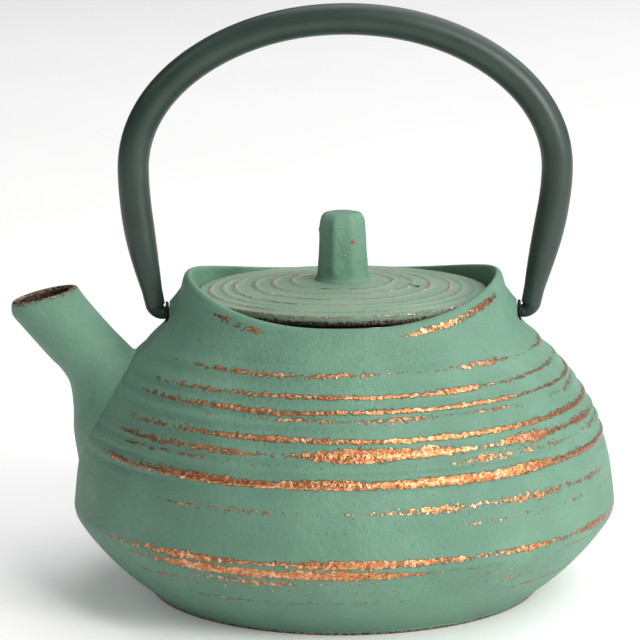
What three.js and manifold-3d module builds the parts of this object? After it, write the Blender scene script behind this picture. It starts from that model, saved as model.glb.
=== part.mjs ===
// A cast iron teapot: a squat ringed pot whose rim rises at two sides to carry a swinging
// overhead handle, with a short spout, a flat lid with a tall knob and a strainer basket.
//
// Millimetres, +Z up. The origin is on the pot's axis in the plane of its flat base, the
// spout points to -X, and the handle stands upright in the XZ plane.
import * as THREE from 'three';
import { mergeVertices } from 'three/addons/utils/BufferGeometryUtils.js';
import Module from 'manifold-3d';

const wasm = await Module();
wasm.setup();

// ---- driving dimensions ------------------------------------------------------------

const GAP = 0.3; // between faces that rest on each other
const FIT = 0.5; // radial clearance of what drops into a round seat

const BASE_R = 53.2; // flat base
const BELLY_R = 75.3; // widest radius
const BELLY_Z = 24.5;
const RIM_Z = 80.7; // rim at the front and the back
const EAR_RISE = 7.9; // how much higher the rim is at the two sides
const WALL = 4;
const BASE_THICK = 4;
const BASE_CHAMFER = 1.2; // round the foot of the pot
const FLOOR_CHAMFER = 3; // round the floor inside
const NECK_TALL = 8.2; // smooth neck above the last ring, at the front and the back

const MOUTH_R = 36.6; // hole that the basket hangs in
const LID_LAP = 3.5; // how far the lid reaches past the hole
const LID_SIDE_GAP = 1.2; // between the lid and the rim around it
const RIM_THICK = 3.6; // wall of the neck, from that gap to the outside
const LEDGE_DROP = 1.7; // from the low rim down to the ledge
const LEDGE_THICK = 4.2;
const LEDGE_TAPER = 2.8; // chamfer under the ledge

const LID_EDGE = 2.7; // height of the lid's side face
const LID_RISE = 3.1; // from the lid's edge up to its flat centre
const LID_THICK = 2.8;
const SKIRT_DEPTH = 5; // ring under the lid that keeps it in place
const SKIRT_THICK = 2.2;
const VENT_R = 1.6;
const VENT_X = 19.5;
const VENT_Y = -5;

const KNOB_BASE_R = 7.15;
const KNOB_TOP_R = 5.6;
const KNOB_HEIGHT = 18.5;
const RIVET_R = 2.5;
const RIVET_DEPTH = 10; // shank inside the knob
const RIVET_HEAD_R = 4.2;
const RIVET_HEAD_TALL = 1.5;
const WASHER_R = 5.6; // washer under the lid
const WASHER_THICK = 0.8;

const FLANGE_WIDTH = 2.6; // basket rim lying on the ledge
const SHEET = 0.8; // basket rim sheet
const MESH_SHEET = 0.5; // basket wall and bottom
const COLLAR_DEPTH = 6;
const BASKET_DEPTH = 45;

const SPOUT_TOP_DROP = 14.4; // root's upper end, below the low rim
const SPOUT_ROOT_TALL = 30.5;
const SPOUT_ROOT_HALF = 18.3;
const SPOUT_TUBE_HALF = 9.1;
const SPOUT_WALL = 2.2; // at the lip, thicker towards the root
const SPOUT_HOLE_R = 6.5;
const HOLE_REACH = 12; // half the length that the hole is cut over
const SEAM_GAP = 0.5; // level gap to the pot, about GAP square to the slope

const PIVOT_DROP = 3.7; // below the low rim
const PIN_R = 1.6;
const PIN_CLEARANCE = 0.35;
const SOCKET_DEPTH = 6;
const PAD_R = 2.9; // flat that the handle's washer turns on
const PAD_PROUD = 0.3;
const PIVOT_WASHER_THICK = 0.8;
const SPOT_FACE_R = 3.5;
const FOOT_R = 2; // handle where it meets the washer
const BEND_R = 2.6;
const TUBE_END_R = 2.85; // handle at the narrow ends of the tube
const TUBE_R = 4.3;
const TUBE_WALL = 1.1;
const SHANK_LENGTH = 8; // hook end inside the tube
const LEG_LENGTH = 4.4; // straight leg between the bend and the tube
const ARCH_HALF = 58.35;
const ARCH_OFFSET = 0.75; // the arch stands a little off the middle, as bent by hand
const ARCH_SPRING = 40; // from the pivots up to where the arch is widest
const ARCH_RISE = 41.1;
const TAPER_START = 27; // the tube starts to narrow this far above the pivots

const ROUND = 40; // facets around the pot and the basket
const SMALL_ROUND = 14; // facets around rods and pins

// ---- helpers -----------------------------------------------------------------------

const v2 = (x, y) => new THREE.Vector2(x, y);
const mix = (a, b, t) => a + (b - a) * t;

// A profile of [radius, height] pairs, up the outside, turned about the Z axis.
function turned(profile, facets = ROUND) {
  const points = profile.map(([radius, height]) => v2(radius, height));
  return new THREE.LatheGeometry(points, facets).rotateX(Math.PI / 2);
}

// The same for a ring, whose profile closes on itself.
const turnedRing = (profile, facets) => turned([...profile, profile[0]], facets);

// Moves every corner of a geometry.
function reshape(geometry, move) {
  const position = geometry.attributes.position;
  const corner = new THREE.Vector3();
  for (let i = 0; i < position.count; i += 1) {
    corner.fromBufferAttribute(position, i);
    move(corner);
    position.setXYZ(i, corner.x, corner.y, corner.z);
  }
  return geometry;
}

function toSolid(geometry) {
  const bare = geometry.clone();
  bare.deleteAttribute('normal');
  bare.deleteAttribute('uv');
  const merged = mergeVertices(bare, 1e-4);
  return new wasm.Manifold(new wasm.Mesh({
    numProp: 3,
    vertProperties: new Float32Array(merged.attributes.position.array),
    triVerts: new Uint32Array(merged.index.array),
  }));
}

function toGeometry(solid) {
  const { vertProperties, triVerts } = solid.getMesh();
  const geometry = new THREE.BufferGeometry();
  geometry.setAttribute('position', new THREE.BufferAttribute(vertProperties, 3));
  geometry.setIndex(new THREE.BufferAttribute(triVerts, 1));
  geometry.computeVertexNormals();
  return geometry;
}

// A round bar from one point to another, as a tool for joins and cuts.
function bar(radius, from, to, facets = SMALL_ROUND) {
  const start = new THREE.Vector3(...from);
  const along = new THREE.Vector3(...to).sub(start);
  const geometry = new THREE.CylinderGeometry(radius, radius, along.length(), facets);
  geometry.translate(0, along.length() / 2, 0);
  const up = new THREE.Vector3(0, 1, 0);
  geometry.applyQuaternion(new THREE.Quaternion().setFromUnitVectors(up, along.normalize()));
  return toSolid(geometry.translate(start.x, start.y, start.z));
}

const teapot = new THREE.Group();

function add(name, geometry, color, roughness, metalness) {
  const material = new THREE.MeshStandardMaterial({ color, roughness, metalness });
  const mesh = new THREE.Mesh(geometry, material);
  mesh.name = name;
  teapot.add(mesh);
}

const GREEN = [0x6f9c88, 0.75, 0.1];
const DARK_STEEL = [0x3d4b46, 0.45, 0.6];
const BRIGHT_STEEL = [0xb9bcbd, 0.3, 0.9];

// ---- pot: outline -------------------------------------------------------------------

const lidR = MOUTH_R + LID_LAP;
const seatR = lidR + LID_SIDE_GAP;
const neckR = seatR + RIM_THICK;
const NECK_ABOVE_RIM = 3.3; // how far above the low rim the neck has that radius
const neckZ = RIM_Z + NECK_ABOVE_RIM;

// Shares of the way up, and of the way out, from the base to the belly.
const LOWER_OUTLINE = [[0, 0], [0.12, 0.16], [0.33, 0.44], [0.61, 0.735], [0.88, 0.955], [1, 1]];
// Shares of the way up, and of the way in, from the belly to the neck, and on past it.
const UPPER_OUTLINE = [
  [0, 0], [0.16, 0.036], [0.26, 0.076], [0.38, 0.147], [0.51, 0.28], [0.645, 0.478],
  [0.765, 0.706], [0.88, 0.905], [1, 1], [1.08, 1.03],
];
// The cast rings' crests, as shares of the way from the belly to the rim, and how far
// they stand out from the notches between them.
const RINGS = [0.367, 0.429, 0.486, 0.553, 0.617, 0.667, 0.726, 0.81];
const RINGS_START = 0.322;
const RING_HALF_DEPTH = 0.35;
const ringZ = RINGS.map((share) => mix(BELLY_Z, RIM_Z, share));

const lowerCurve = new THREE.SplineCurve(LOWER_OUTLINE.map(([up, out]) => (
  v2(mix(BASE_R, BELLY_R, out), BELLY_Z * up))));
const upperCurve = new THREE.SplineCurve(UPPER_OUTLINE.map(([up, inwards]) => (
  v2(mix(BELLY_R, neckR, inwards), mix(BELLY_Z, neckZ, up)))));

// Outside radius of the pot, without its rings, at a height.
function outsideRadius(z) {
  const curve = z < BELLY_Z ? lowerCurve : upperCurve;
  let low = 0;
  let high = 1;
  for (let step = 0; step < 30; step += 1) {
    const middle = (low + high) / 2;
    if (curve.getPoint(middle).y < z) low = middle;
    else high = middle;
  }
  return curve.getPoint(low).x;
}

const ledgeZ = RIM_Z - LEDGE_DROP;
const neckStartZ = RIM_Z - NECK_TALL;

// Walls are measured level, so the level measure grows where the shoulder slopes most.
const SHOULDER_SHARE = 0.63;
const shoulderZ = mix(BELLY_Z, RIM_Z, SHOULDER_SHARE);
const levelWall = (z) => WALL * (z > shoulderZ ? 1.35 : 1.1);

// The rim is lowest at the front and the back and rises towards the two pivots.
const rimHeight = (angle) => RIM_Z + EAR_RISE * Math.abs(Math.cos(angle)) ** 2.6;

const rings = ringZ.flatMap((crest, i) => {
  const below = i === 0 ? mix(BELLY_Z, RIM_Z, RINGS_START) : (ringZ[i - 1] + crest) / 2;
  return [
    [outsideRadius(below) - RING_HALF_DEPTH, below],
    [outsideRadius(crest) + RING_HALF_DEPTH, crest],
  ];
});
const plainZ = [
  ...[0.035, 0.12, 0.33, 0.61, 0.88, 1].map((share) => share * BELLY_Z),
  ...[0.085, 0.175, 0.27].map((share) => mix(BELLY_Z, RIM_Z, share)),
];

// Outline from the middle of the base up to where the neck starts.
const outerProfile = [
  [0, 0],
  [BASE_R - BASE_CHAMFER, 0],
  ...plainZ.map((z) => [outsideRadius(z), z]),
  ...rings,
  [outsideRadius(neckStartZ), neckStartZ],
];

// Lip and neck: each point is [share of the neck's height, way in from the outside].
const NECK_POINTS = [[0.3, 0], [0.6, 0], [0.86, 0], [0.95, 0.4], [1, 1.4], [0.97, 2.4]];

const ledgeFootZ = ledgeZ - LEDGE_THICK - LEDGE_TAPER;
// The cavity's wall follows the outside, from under the ledge down to the base.
const INNER_SHARES = [0.96, 0.87, 0.76, 0.64, 0.51, 0.38, 0.28, 0.18, 0.08];
const innerZ = INNER_SHARES.map((share) => mix(BASE_THICK, ledgeFootZ, share));
const innerRadius = (z) => outsideRadius(z) - levelWall(z);
const innerProfile = [
  [seatR, ledgeZ],
  [MOUTH_R, ledgeZ],
  [MOUTH_R, ledgeZ - LEDGE_THICK],
  [MOUTH_R + LEDGE_TAPER, ledgeFootZ],
  ...innerZ.map((z) => [innerRadius(z), z]),
  [BASE_R - 1, BASE_THICK + FLOOR_CHAMFER / 5],
  [BASE_R - 1 - FLOOR_CHAMFER, BASE_THICK],
  [0, BASE_THICK],
];

// The neck is turned with a level rim, and its corners are then drawn up to the rim's own
// height at their side. They are the ones above the neck's foot and outside the seat.
const neckProfile = NECK_POINTS.map(([share, inset]) => {
  const z = mix(neckStartZ, RIM_Z, share);
  return [outsideRadius(z) - inset, z];
});

function liftNeck(corner) {
  const radius = Math.hypot(corner.x, corner.y);
  if (corner.z < neckStartZ + GAP || radius < seatR + GAP) return;
  const share = (corner.z - neckStartZ) / (RIM_Z - neckStartZ);
  const inset = outsideRadius(corner.z) - radius;
  const angle = Math.atan2(corner.y, corner.x);
  const z = mix(neckStartZ, rimHeight(angle), share);
  const lifted = Math.max(outsideRadius(z) - inset, seatR + GAP);
  corner.set(lifted * Math.cos(angle), lifted * Math.sin(angle), z);
}

const shell = reshape(turned([...outerProfile, ...neckProfile, ...innerProfile]), liftNeck);

// ---- pot: pivots and spout hole ------------------------------------------------------

const pivotZ = RIM_Z - PIVOT_DROP;
const padX = outsideRadius(pivotZ) + PAD_PROUD;
const pinEndX = padX - SOCKET_DEPTH + GAP;
const washerX = padX + GAP;
const footX = washerX + PIVOT_WASHER_THICK + GAP;

const rootTopZ = RIM_Z - SPOUT_TOP_DROP;
const rootBottomZ = rootTopZ - SPOUT_ROOT_TALL;
const rootTop = v2(-outsideRadius(rootTopZ), rootTopZ);
const rootBottom = v2(-outsideRadius(rootBottomZ), rootBottomZ);
const rootCentreZ = (rootTopZ + rootBottomZ) / 2;

let pot = toSolid(shell);
for (const side of [-1, 1]) {
  const at = (x) => [side * x, 0, pivotZ];
  pot = pot.add(bar(PAD_R, at(seatR), at(padX)));
  pot = pot.subtract(bar(SPOT_FACE_R, at(padX), at(BELLY_R)));
  pot = pot.subtract(bar(PIN_R + PIN_CLEARANCE, at(padX - SOCKET_DEPTH), at(BELLY_R)));
}
// The hole runs square to the wall, well clear of it on both sides.
const holeAxis = v2(rootTop.y - rootBottom.y, rootBottom.x - rootTop.x).normalize();
const holeCentre = v2((rootTop.x + rootBottom.x) / 2, rootCentreZ);
const holeEnd = (distance) => [
  holeCentre.x + holeAxis.x * distance,
  0,
  holeCentre.y + holeAxis.y * distance,
];
pot = pot.subtract(bar(SPOUT_HOLE_R, holeEnd(-HOLE_REACH), holeEnd(HOLE_REACH)));
add('pot_body', toGeometry(pot), ...GREEN);

// ---- spout ---------------------------------------------------------------------------

// Sections from the root to the lip, each with the ends of its section line in the XZ
// plane, upper and lower, measured from the pot's outside at the middle of the root, and
// its half width.
const rootMiddle = v2(-outsideRadius(rootCentreZ), rootCentreZ);
const fromMiddle = (x, z) => [x - rootMiddle.x, z - rootMiddle.y];
// A point that stands proud of the pot, at a share of the height of the root.
const standing = (share, proud) => {
  const z = mix(rootBottomZ, rootTopZ, share);
  return fromMiddle(-outsideRadius(z) - proud, z);
};
const SPOUT_SECTIONS = [
  { upper: standing(1, 0), lower: standing(0, 0), half: SPOUT_ROOT_HALF },
  { upper: standing(1.01, 1.25), lower: standing(0.26, 3.1), half: 16.6 },
  { upper: standing(1.035, 2.8), lower: standing(0.5, 6.2), half: 13.9 },
  { upper: [8.7, 17.5], lower: [-7, 6.4], half: 11.4 },
  { upper: [7.1, 19.2], lower: [-9.3, 10.4], half: 9.9 },
  { upper: [4.7, 21.8], lower: [-13, 14.3], half: SPOUT_TUBE_HALF },
  { upper: [-0.5, 27.9], lower: [-19.7, 22.2], half: SPOUT_TUBE_HALF },
  { upper: [-3, 31.1], lower: [-22.6, 25.9], half: SPOUT_TUBE_HALF },
  { upper: [-4.7, 33.6], lower: [-22.7, 29.4], half: SPOUT_TUBE_HALF },
];

// A section moved bodily by a distance in the XZ plane.
const moved = (section, x, z) => ({
  upper: [section.upper[0] + x, section.upper[1] + z],
  lower: [section.lower[0] + x, section.lower[1] + z],
  half: section.half,
});
// The tube starts inside the pot, square to the root, and is cut to the pot's outside.
const ROOT_DEPTH = 9;
const rootLine = v2(rootTop.x - rootBottom.x, rootTop.y - rootBottom.y);
const intoPot = v2(rootLine.y, -rootLine.x).normalize().multiplyScalar(ROOT_DEPTH);
const rootSection = moved(SPOUT_SECTIONS[0], intoPot.x, intoPot.y);
const lipSection = SPOUT_SECTIONS[SPOUT_SECTIONS.length - 1];

const SPOUT_FACETS = 20;
const ROOT_THICKENING = 1.5;

// A tube of elliptical sections, drawn in by an inset that grows towards the root.
function spoutSolid(sections, inset) {
  const last = sections.length - 1;
  const profile = [[0, 0], ...sections.map((_, i) => [1, i]), [0, last]];
  return toSolid(reshape(turned(profile, SPOUT_FACETS), (corner) => {
    const index = Math.round(corner.z);
    const { upper, lower, half } = sections[index];
    const middle = v2((upper[0] + lower[0]) / 2, (upper[1] + lower[1]) / 2);
    const halfLine = v2(upper[0] - middle.x, upper[1] - middle.y);
    const shrink = inset * mix(ROOT_THICKENING, 1, index / last);
    halfLine.multiplyScalar(1 - shrink / halfLine.length());
    corner.set(
      rootMiddle.x + middle.x + halfLine.x * corner.x,
      corner.y * (half - shrink),
      rootMiddle.y + middle.y + halfLine.y * corner.x,
    );
  }));
}

// The bore runs on past both ends of the tube.
const spoutTube = spoutSolid([rootSection, ...SPOUT_SECTIONS], 0);
const PAST_LIP = [-1.2, 3];
const spoutBore = spoutSolid([
  moved(rootSection, intoPot.x, intoPot.y),
  ...SPOUT_SECTIONS,
  moved(lipSection, ...PAST_LIP),
], SPOUT_WALL);

// The pot's outside, a little larger, which the root is cut to.
const potOutside = toSolid(turned([
  [0, 0],
  ...[0, ...plainZ].map((z) => [outsideRadius(z) + SEAM_GAP, z]),
  ...rings.map(([radius, z]) => [radius + SEAM_GAP, z]),
  [outsideRadius(neckStartZ) + SEAM_GAP, neckStartZ],
  [outsideRadius(RIM_Z) + SEAM_GAP, RIM_Z],
  [0, RIM_Z],
]));
const spout = spoutTube.subtract(spoutBore).subtract(potOutside);
add('spout', toGeometry(spout), ...GREEN);

// ---- lid -----------------------------------------------------------------------------

const flangeZ = ledgeZ + GAP;
const lidZ = flangeZ + SHEET + GAP;
const lidEdgeZ = lidZ + LID_EDGE;
const lidTopZ = lidEdgeZ + LID_RISE;
const basketR = MOUTH_R - FIT; // outside of the basket's collar
const wallR = basketR - SHEET - GAP; // outside of the basket's wall
const skirtR = wallR - MESH_SHEET - FIT;
const underZ = lidTopZ - LID_THICK;

// The top slopes from the edge up to the centre, with raised rings.
const LID_RINGS = [0.915, 0.743, 0.608, 0.479, 0.347];
const LID_RING_HEIGHT = 0.3;
const LID_RING_HALF = 1.6;
const LID_CHAMFER = 0.5;
const SKIRT_TAPER = 0.4; // lead-in at the skirt's foot
const lidCentreR = KNOB_BASE_R + 0.6; // the flat that the knob stands on
const lidTop = (radius) => mix(lidEdgeZ, lidTopZ, (lidR - radius) / (lidR - lidCentreR));
const lidRings = LID_RINGS.map((share) => share * lidR).flatMap((radius) => [
  [radius + LID_RING_HALF, lidTop(radius + LID_RING_HALF)],
  [radius, lidTop(radius) + LID_RING_HEIGHT],
  [radius - LID_RING_HALF, lidTop(radius - LID_RING_HALF)],
]);

const lidShape = turned([
  [0, underZ],
  [WASHER_R + 1, underZ],
  [skirtR - SKIRT_THICK, lidEdgeZ - LID_THICK + LID_CHAMFER],
  [skirtR - SKIRT_THICK, lidZ - SKIRT_DEPTH],
  [skirtR - SKIRT_TAPER, lidZ - SKIRT_DEPTH],
  [skirtR, lidZ],
  [lidR, lidZ],
  [lidR, lidEdgeZ - LID_CHAMFER],
  [lidR - LID_CHAMFER, lidEdgeZ],
  ...lidRings,
  [lidCentreR, lidTopZ],
  [0, lidTopZ],
]);
const lid = toSolid(lidShape)
  .subtract(bar(RIVET_R + GAP, [0, 0, lidZ], [0, 0, lidTopZ + 1]))
  .subtract(bar(VENT_R, [VENT_X, VENT_Y, lidZ], [VENT_X, VENT_Y, lidTopZ + 1]));
add('lid_plate', toGeometry(lid), ...GREEN);

const knobZ = lidTopZ + GAP;
const knobTopZ = knobZ + KNOB_HEIGHT;
const KNOB_FACETS = 12;
const KNOB_CHAMFER = 1.5; // round its top
const KNOB_WAIST = [0.4, 0.68]; // shares in and up: it tapers more above this height
const knobShape = turned([
  [0, knobZ],
  [KNOB_BASE_R, knobZ],
  [mix(KNOB_BASE_R, KNOB_TOP_R, KNOB_WAIST[0]), mix(knobZ, knobTopZ, KNOB_WAIST[1])],
  [KNOB_TOP_R, knobTopZ - KNOB_CHAMFER],
  [KNOB_TOP_R - KNOB_CHAMFER * 0.75, knobTopZ],
  [0, knobTopZ],
], KNOB_FACETS);
const knob = toSolid(knobShape)
  .subtract(bar(RIVET_R + GAP, [0, 0, lidZ], [0, 0, knobZ + RIVET_DEPTH + GAP]));
add('lid_knob', toGeometry(knob), ...GREEN);

const washerTopZ = underZ - GAP;
const headZ = washerTopZ - WASHER_THICK - GAP;
add('knob_rivet', turned([
  [0, headZ - RIVET_HEAD_TALL],
  [RIVET_HEAD_R * 0.6, headZ - RIVET_HEAD_TALL * 0.85],
  [RIVET_HEAD_R, headZ - RIVET_HEAD_TALL * 0.25],
  [RIVET_HEAD_R, headZ],
  [RIVET_R, headZ],
  [RIVET_R, knobZ + RIVET_DEPTH],
  [0, knobZ + RIVET_DEPTH],
], SMALL_ROUND), ...BRIGHT_STEEL);
add('knob_washer', turnedRing([
  [RIVET_R + GAP, washerTopZ - WASHER_THICK],
  [WASHER_R, washerTopZ - WASHER_THICK],
  [WASHER_R, washerTopZ],
  [RIVET_R + GAP, washerTopZ],
], SMALL_ROUND), ...BRIGHT_STEEL);

// ---- strainer basket -------------------------------------------------------------------

const basketFloorZ = ledgeZ - BASKET_DEPTH;
add('infuser_rim', turnedRing([
  [basketR - SHEET, flangeZ - COLLAR_DEPTH],
  [basketR, flangeZ - COLLAR_DEPTH],
  [basketR, flangeZ],
  [MOUTH_R + FLANGE_WIDTH, flangeZ],
  [MOUTH_R + FLANGE_WIDTH, flangeZ + SHEET],
  [basketR - SHEET, flangeZ + SHEET],
]), ...BRIGHT_STEEL);
add('infuser_wall', turnedRing([
  [wallR - MESH_SHEET, basketFloorZ],
  [wallR, basketFloorZ],
  [wallR, flangeZ - GAP],
  [wallR - MESH_SHEET, flangeZ - GAP],
]), ...BRIGHT_STEEL);
const floorR = wallR - MESH_SHEET - GAP;
add('infuser_bottom', turned([
  [0, basketFloorZ],
  [floorR, basketFloorZ],
  [floorR, basketFloorZ + MESH_SHEET],
  [0, basketFloorZ + MESH_SHEET],
]), ...BRIGHT_STEEL);

// ---- handle ----------------------------------------------------------------------------

// The centreline, in the XZ plane, from the left pin's inner end to the right one's: along
// the pivot axis, round a tight bend, up the leg, over a half ellipse and back down.
const LEG_TILT = THREE.MathUtils.degToRad(11.8);
const bendZ = pivotZ + BEND_R;
const springZ = pivotZ + ARCH_SPRING;
const legDir = v2(-Math.sin(LEG_TILT), Math.cos(LEG_TILT));
const bendEnd = v2(-footX - BEND_R * legDir.y, bendZ + BEND_R * legDir.x);
const legStart = bendEnd.clone().addScaledVector(legDir, LEG_LENGTH);
const CURVE_PULL = 11; // length of the curve's tangents between the leg and the arch
const legPull = legStart.clone().addScaledVector(legDir, CURVE_PULL);
const archLeft = ARCH_OFFSET - ARCH_HALF;
const archRight = ARCH_OFFSET + ARCH_HALF;

const line = new THREE.Path();
line.moveTo(-pinEndX, pivotZ);
line.lineTo(-footX, pivotZ);
line.absarc(-footX, bendZ, BEND_R, -Math.PI / 2, -Math.PI + LEG_TILT, true);
line.lineTo(legStart.x, legStart.y);
line.bezierCurveTo(legPull.x, legPull.y, archLeft, springZ - CURVE_PULL, archLeft, springZ);
line.absellipse(ARCH_OFFSET, springZ, ARCH_HALF, ARCH_RISE, Math.PI, 0, true);
line.bezierCurveTo(
  archRight,
  springZ - CURVE_PULL,
  -legPull.x,
  legPull.y,
  -legStart.x,
  legStart.y,
);
line.lineTo(-bendEnd.x, bendEnd.y);
line.absarc(footX, bendZ, BEND_R, -LEG_TILT, -Math.PI / 2, true);
line.lineTo(pinEndX, pivotZ);
const lineLength = line.getLength();

const pinLength = footX - pinEndX;
const bendLength = BEND_R * (Math.PI / 2 - LEG_TILT);
const tubeStart = pinLength + bendLength + LEG_LENGTH;

// A turned piece whose height is the distance along the centreline, laid along it.
function along(geometry) {
  return reshape(geometry, (corner) => {
    const share = THREE.MathUtils.clamp(corner.z / lineLength, 0, 1);
    const point = line.getPointAt(share);
    const tangent = line.getTangentAt(share);
    corner.set(
      point.x + corner.x * tangent.y,
      corner.y,
      point.y - corner.x * tangent.x,
    );
  });
}

// The tube narrows towards its two ends.
function tubeRadius(distance) {
  const height = line.getPointAt(distance / lineLength).y - pivotZ;
  const low = line.getPointAt(tubeStart / lineLength).y - pivotZ;
  const share = THREE.MathUtils.clamp((height - low) / (TAPER_START - low), 0, 1);
  return mix(TUBE_END_R, TUBE_R, Math.sin(share * Math.PI / 2));
}

const TUBE_STEPS = 38;
const tubeStations = Array.from({ length: TUBE_STEPS + 1 }, (_, i) => (
  mix(tubeStart, lineLength - tubeStart, i / TUBE_STEPS)));
add('handle_tube', along(turnedRing([
  ...tubeStations.map((d) => [tubeRadius(d), d]),
  ...tubeStations.toReversed().map((d) => [tubeRadius(d) - TUBE_WALL, d]),
], SMALL_ROUND)), ...DARK_STEEL);

const BEND_STEPS = 6;
const LEG_STEP = 0.25; // the leg swells by this much up to the tube's end
const PIN_CHAMFER = 0.4;
const bendStations = Array.from({ length: BEND_STEPS + 1 }, (_, i) => {
  const share = i / BEND_STEPS;
  return [mix(FOOT_R, TUBE_END_R - LEG_STEP, share), pinLength + bendLength * share];
});
const shankR = TUBE_END_R - TUBE_WALL - GAP;
const hookProfile = [
  [0, 0],
  [PIN_R - PIN_CHAMFER, 0],
  [PIN_R, PIN_CHAMFER],
  [PIN_R, pinLength],
  ...bendStations,
  [TUBE_END_R, tubeStart - GAP],
  [shankR, tubeStart - GAP],
  [shankR, tubeStart + SHANK_LENGTH / 2],
  [shankR, tubeStart + SHANK_LENGTH],
  [0, tubeStart + SHANK_LENGTH],
];
const leftHook = along(turned(hookProfile, SMALL_ROUND));
const rightHook = leftHook.clone().rotateZ(Math.PI);
add('handle_hook_left', leftHook, ...DARK_STEEL);
add('handle_hook_right', rightHook, ...DARK_STEEL);

const pivotWasher = turnedRing([
  [PIN_R + PIN_CLEARANCE, washerX],
  [PAD_R, washerX],
  [PAD_R, washerX + PIVOT_WASHER_THICK],
  [PIN_R + PIN_CLEARANCE, washerX + PIVOT_WASHER_THICK],
], SMALL_ROUND);
const washerAt = (turn) => pivotWasher.clone().rotateY(turn).translate(0, 0, pivotZ);
add('pivot_washer_left', washerAt(-Math.PI / 2), ...DARK_STEEL);
add('pivot_washer_right', washerAt(Math.PI / 2), ...DARK_STEEL);

export default teapot;
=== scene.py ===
# %% [markdown]
# # A cast iron teapot
#
# The teapot is a squat iron casting with rings round its shoulder, painted a matt blue-green
# and then rubbed, so that copper shows on whatever stands proud. It has a short spout cast in
# one with the body, a loose lid with a tall knob, a strainer basket that hangs in the mouth,
# and a bent tube of a handle that swings on two pins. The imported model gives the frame: every
# piece here takes its place from a box of that model, in metres.

# %% Load the frame
import math

import bmesh
import bpy
import numpy as np
from mathutils import Matrix, Vector


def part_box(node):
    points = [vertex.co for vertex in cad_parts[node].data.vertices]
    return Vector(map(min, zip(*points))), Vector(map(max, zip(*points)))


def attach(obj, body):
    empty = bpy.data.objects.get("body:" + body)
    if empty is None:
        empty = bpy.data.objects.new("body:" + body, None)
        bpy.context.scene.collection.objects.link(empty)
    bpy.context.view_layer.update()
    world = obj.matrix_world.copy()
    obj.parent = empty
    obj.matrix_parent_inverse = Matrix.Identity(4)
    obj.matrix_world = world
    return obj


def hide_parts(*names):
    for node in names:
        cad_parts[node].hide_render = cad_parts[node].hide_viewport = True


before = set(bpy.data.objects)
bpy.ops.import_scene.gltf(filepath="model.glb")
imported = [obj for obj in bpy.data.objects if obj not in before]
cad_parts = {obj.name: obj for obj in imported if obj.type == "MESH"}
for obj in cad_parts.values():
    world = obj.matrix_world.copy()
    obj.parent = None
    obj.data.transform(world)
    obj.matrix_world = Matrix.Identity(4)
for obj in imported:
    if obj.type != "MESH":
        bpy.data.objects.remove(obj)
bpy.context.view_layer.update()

MM = 0.001

# %% [markdown]
# ## Sizes from the frame
#
# A designer reads sizes off the drawing before making a surface. Here the drawing is the packed
# model: the corners of a node's box give its radii and heights in millimetres. What a box can't
# say, such as the height of each cast ring, is a named share of those sizes.

# %% Read the sizes
def corners(node):
    """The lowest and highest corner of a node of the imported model, in millimetres."""
    low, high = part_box(node)
    return np.array(low) / MM, np.array(high) / MM


pot_high = corners("pot_body")[1]
lid_low, lid_high = corners("lid_plate")
knob_low, knob_high = corners("lid_knob")
rivet_low, rivet_high = corners("knob_rivet")
disc_low, disc_high = corners("knob_washer")
rim_low, rim_high = corners("infuser_rim")
wall_low, wall_high = corners("infuser_wall")
floor_low, floor_high = corners("infuser_bottom")
tube_low, tube_high = corners("handle_tube")
hook_low = corners("handle_hook_right")[0]
washer_low, washer_high = corners("pivot_washer_right")

rivet_head = rivet_high[0]
rivet_radius = 2.5
EAR_RISE = 7.9
BACK_RISE = 1.3
BELLY_R = pot_high[0]
BELLY_Z = 24.5
BASE_R = 53.2
RIM_Z = pot_high[2] - EAR_RISE
LID_R = lid_high[0]
SEAT_R = LID_R + 1.2
NECK_R = SEAT_R + 3.6
NECK_Z = RIM_Z + 3.3
LEDGE_Z = RIM_Z - 1.7
MOUTH_R = LID_R - 3.5
WALL = 4.0
FLOOR_Z = 4.0
NECK_FOOT_Z = RIM_Z - 8.2
PIVOT_Z = (washer_low[2] + washer_high[2]) / 2
PAD_X = washer_low[0] - 0.3
print(f"belly {2 * BELLY_R:.1f} mm across, rim {RIM_Z:.1f} mm up, pivots {PIVOT_Z:.1f} mm up")

# %% [markdown]
# ## Helpers for surfaces
#
# Nearly every piece of a teapot is turned, swept or lofted, so it is a grid: one direction runs
# round the piece, the other along its profile. A grid worked out as one numpy array is quick to
# change and stays clean, with even quads. The helper joins the grid's rows into faces and closes
# an end with a fan of triangles round one point where the piece reaches its axis.

# %% A smooth line through points
def smooth_line(points, steps=24):
    """Catmull-Rom: between b and c, with neighbours a and d, the cubic that passes through b
    and c with the slopes (c - a) / 2 and (d - b) / 2. The end points stand in for what would
    lie past them."""
    p = np.asarray(points, float)
    p = np.vstack([p[:1], p, p[-1:]])
    t = np.linspace(0, 1, steps, endpoint=False)[None, :, None]
    a, b, c, d = (p[i:len(p) - 3 + i, None, :] for i in range(4))
    square, cube = 2 * a - 5 * b + 4 * c - d, 3 * b - a - 3 * c + d
    cubic = 2 * b + (c - a) * t + square * t**2 + cube * t**3
    return np.vstack([cubic.reshape(-1, p.shape[1]) / 2, p[-1:]])


def smooth_step(low, high, x):
    """0 up to low, 1 from high on, and 3t^2 - 2t^3 between them."""
    t = np.clip((x - low) / (high - low), 0, 1)
    return t * t * (3 - 2 * t)


def wander(angle, seed, waves=7, first=1):
    """A gentle, seamless unevenness round the pot, about -1 to 1: a sum of sines whose number
    of turns is whole and whose heights fall as 1 / sqrt(turns)."""
    random = np.random.default_rng(seed)
    turns = np.arange(first, first + waves)
    height = random.uniform(0.5, 1, waves) / np.sqrt(turns / first)
    start = random.uniform(0, 2 * np.pi, waves)
    total = (height * np.sin(np.multiply.outer(angle, turns) + start)).sum(-1)
    return total / np.sqrt((height**2).sum())


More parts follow.
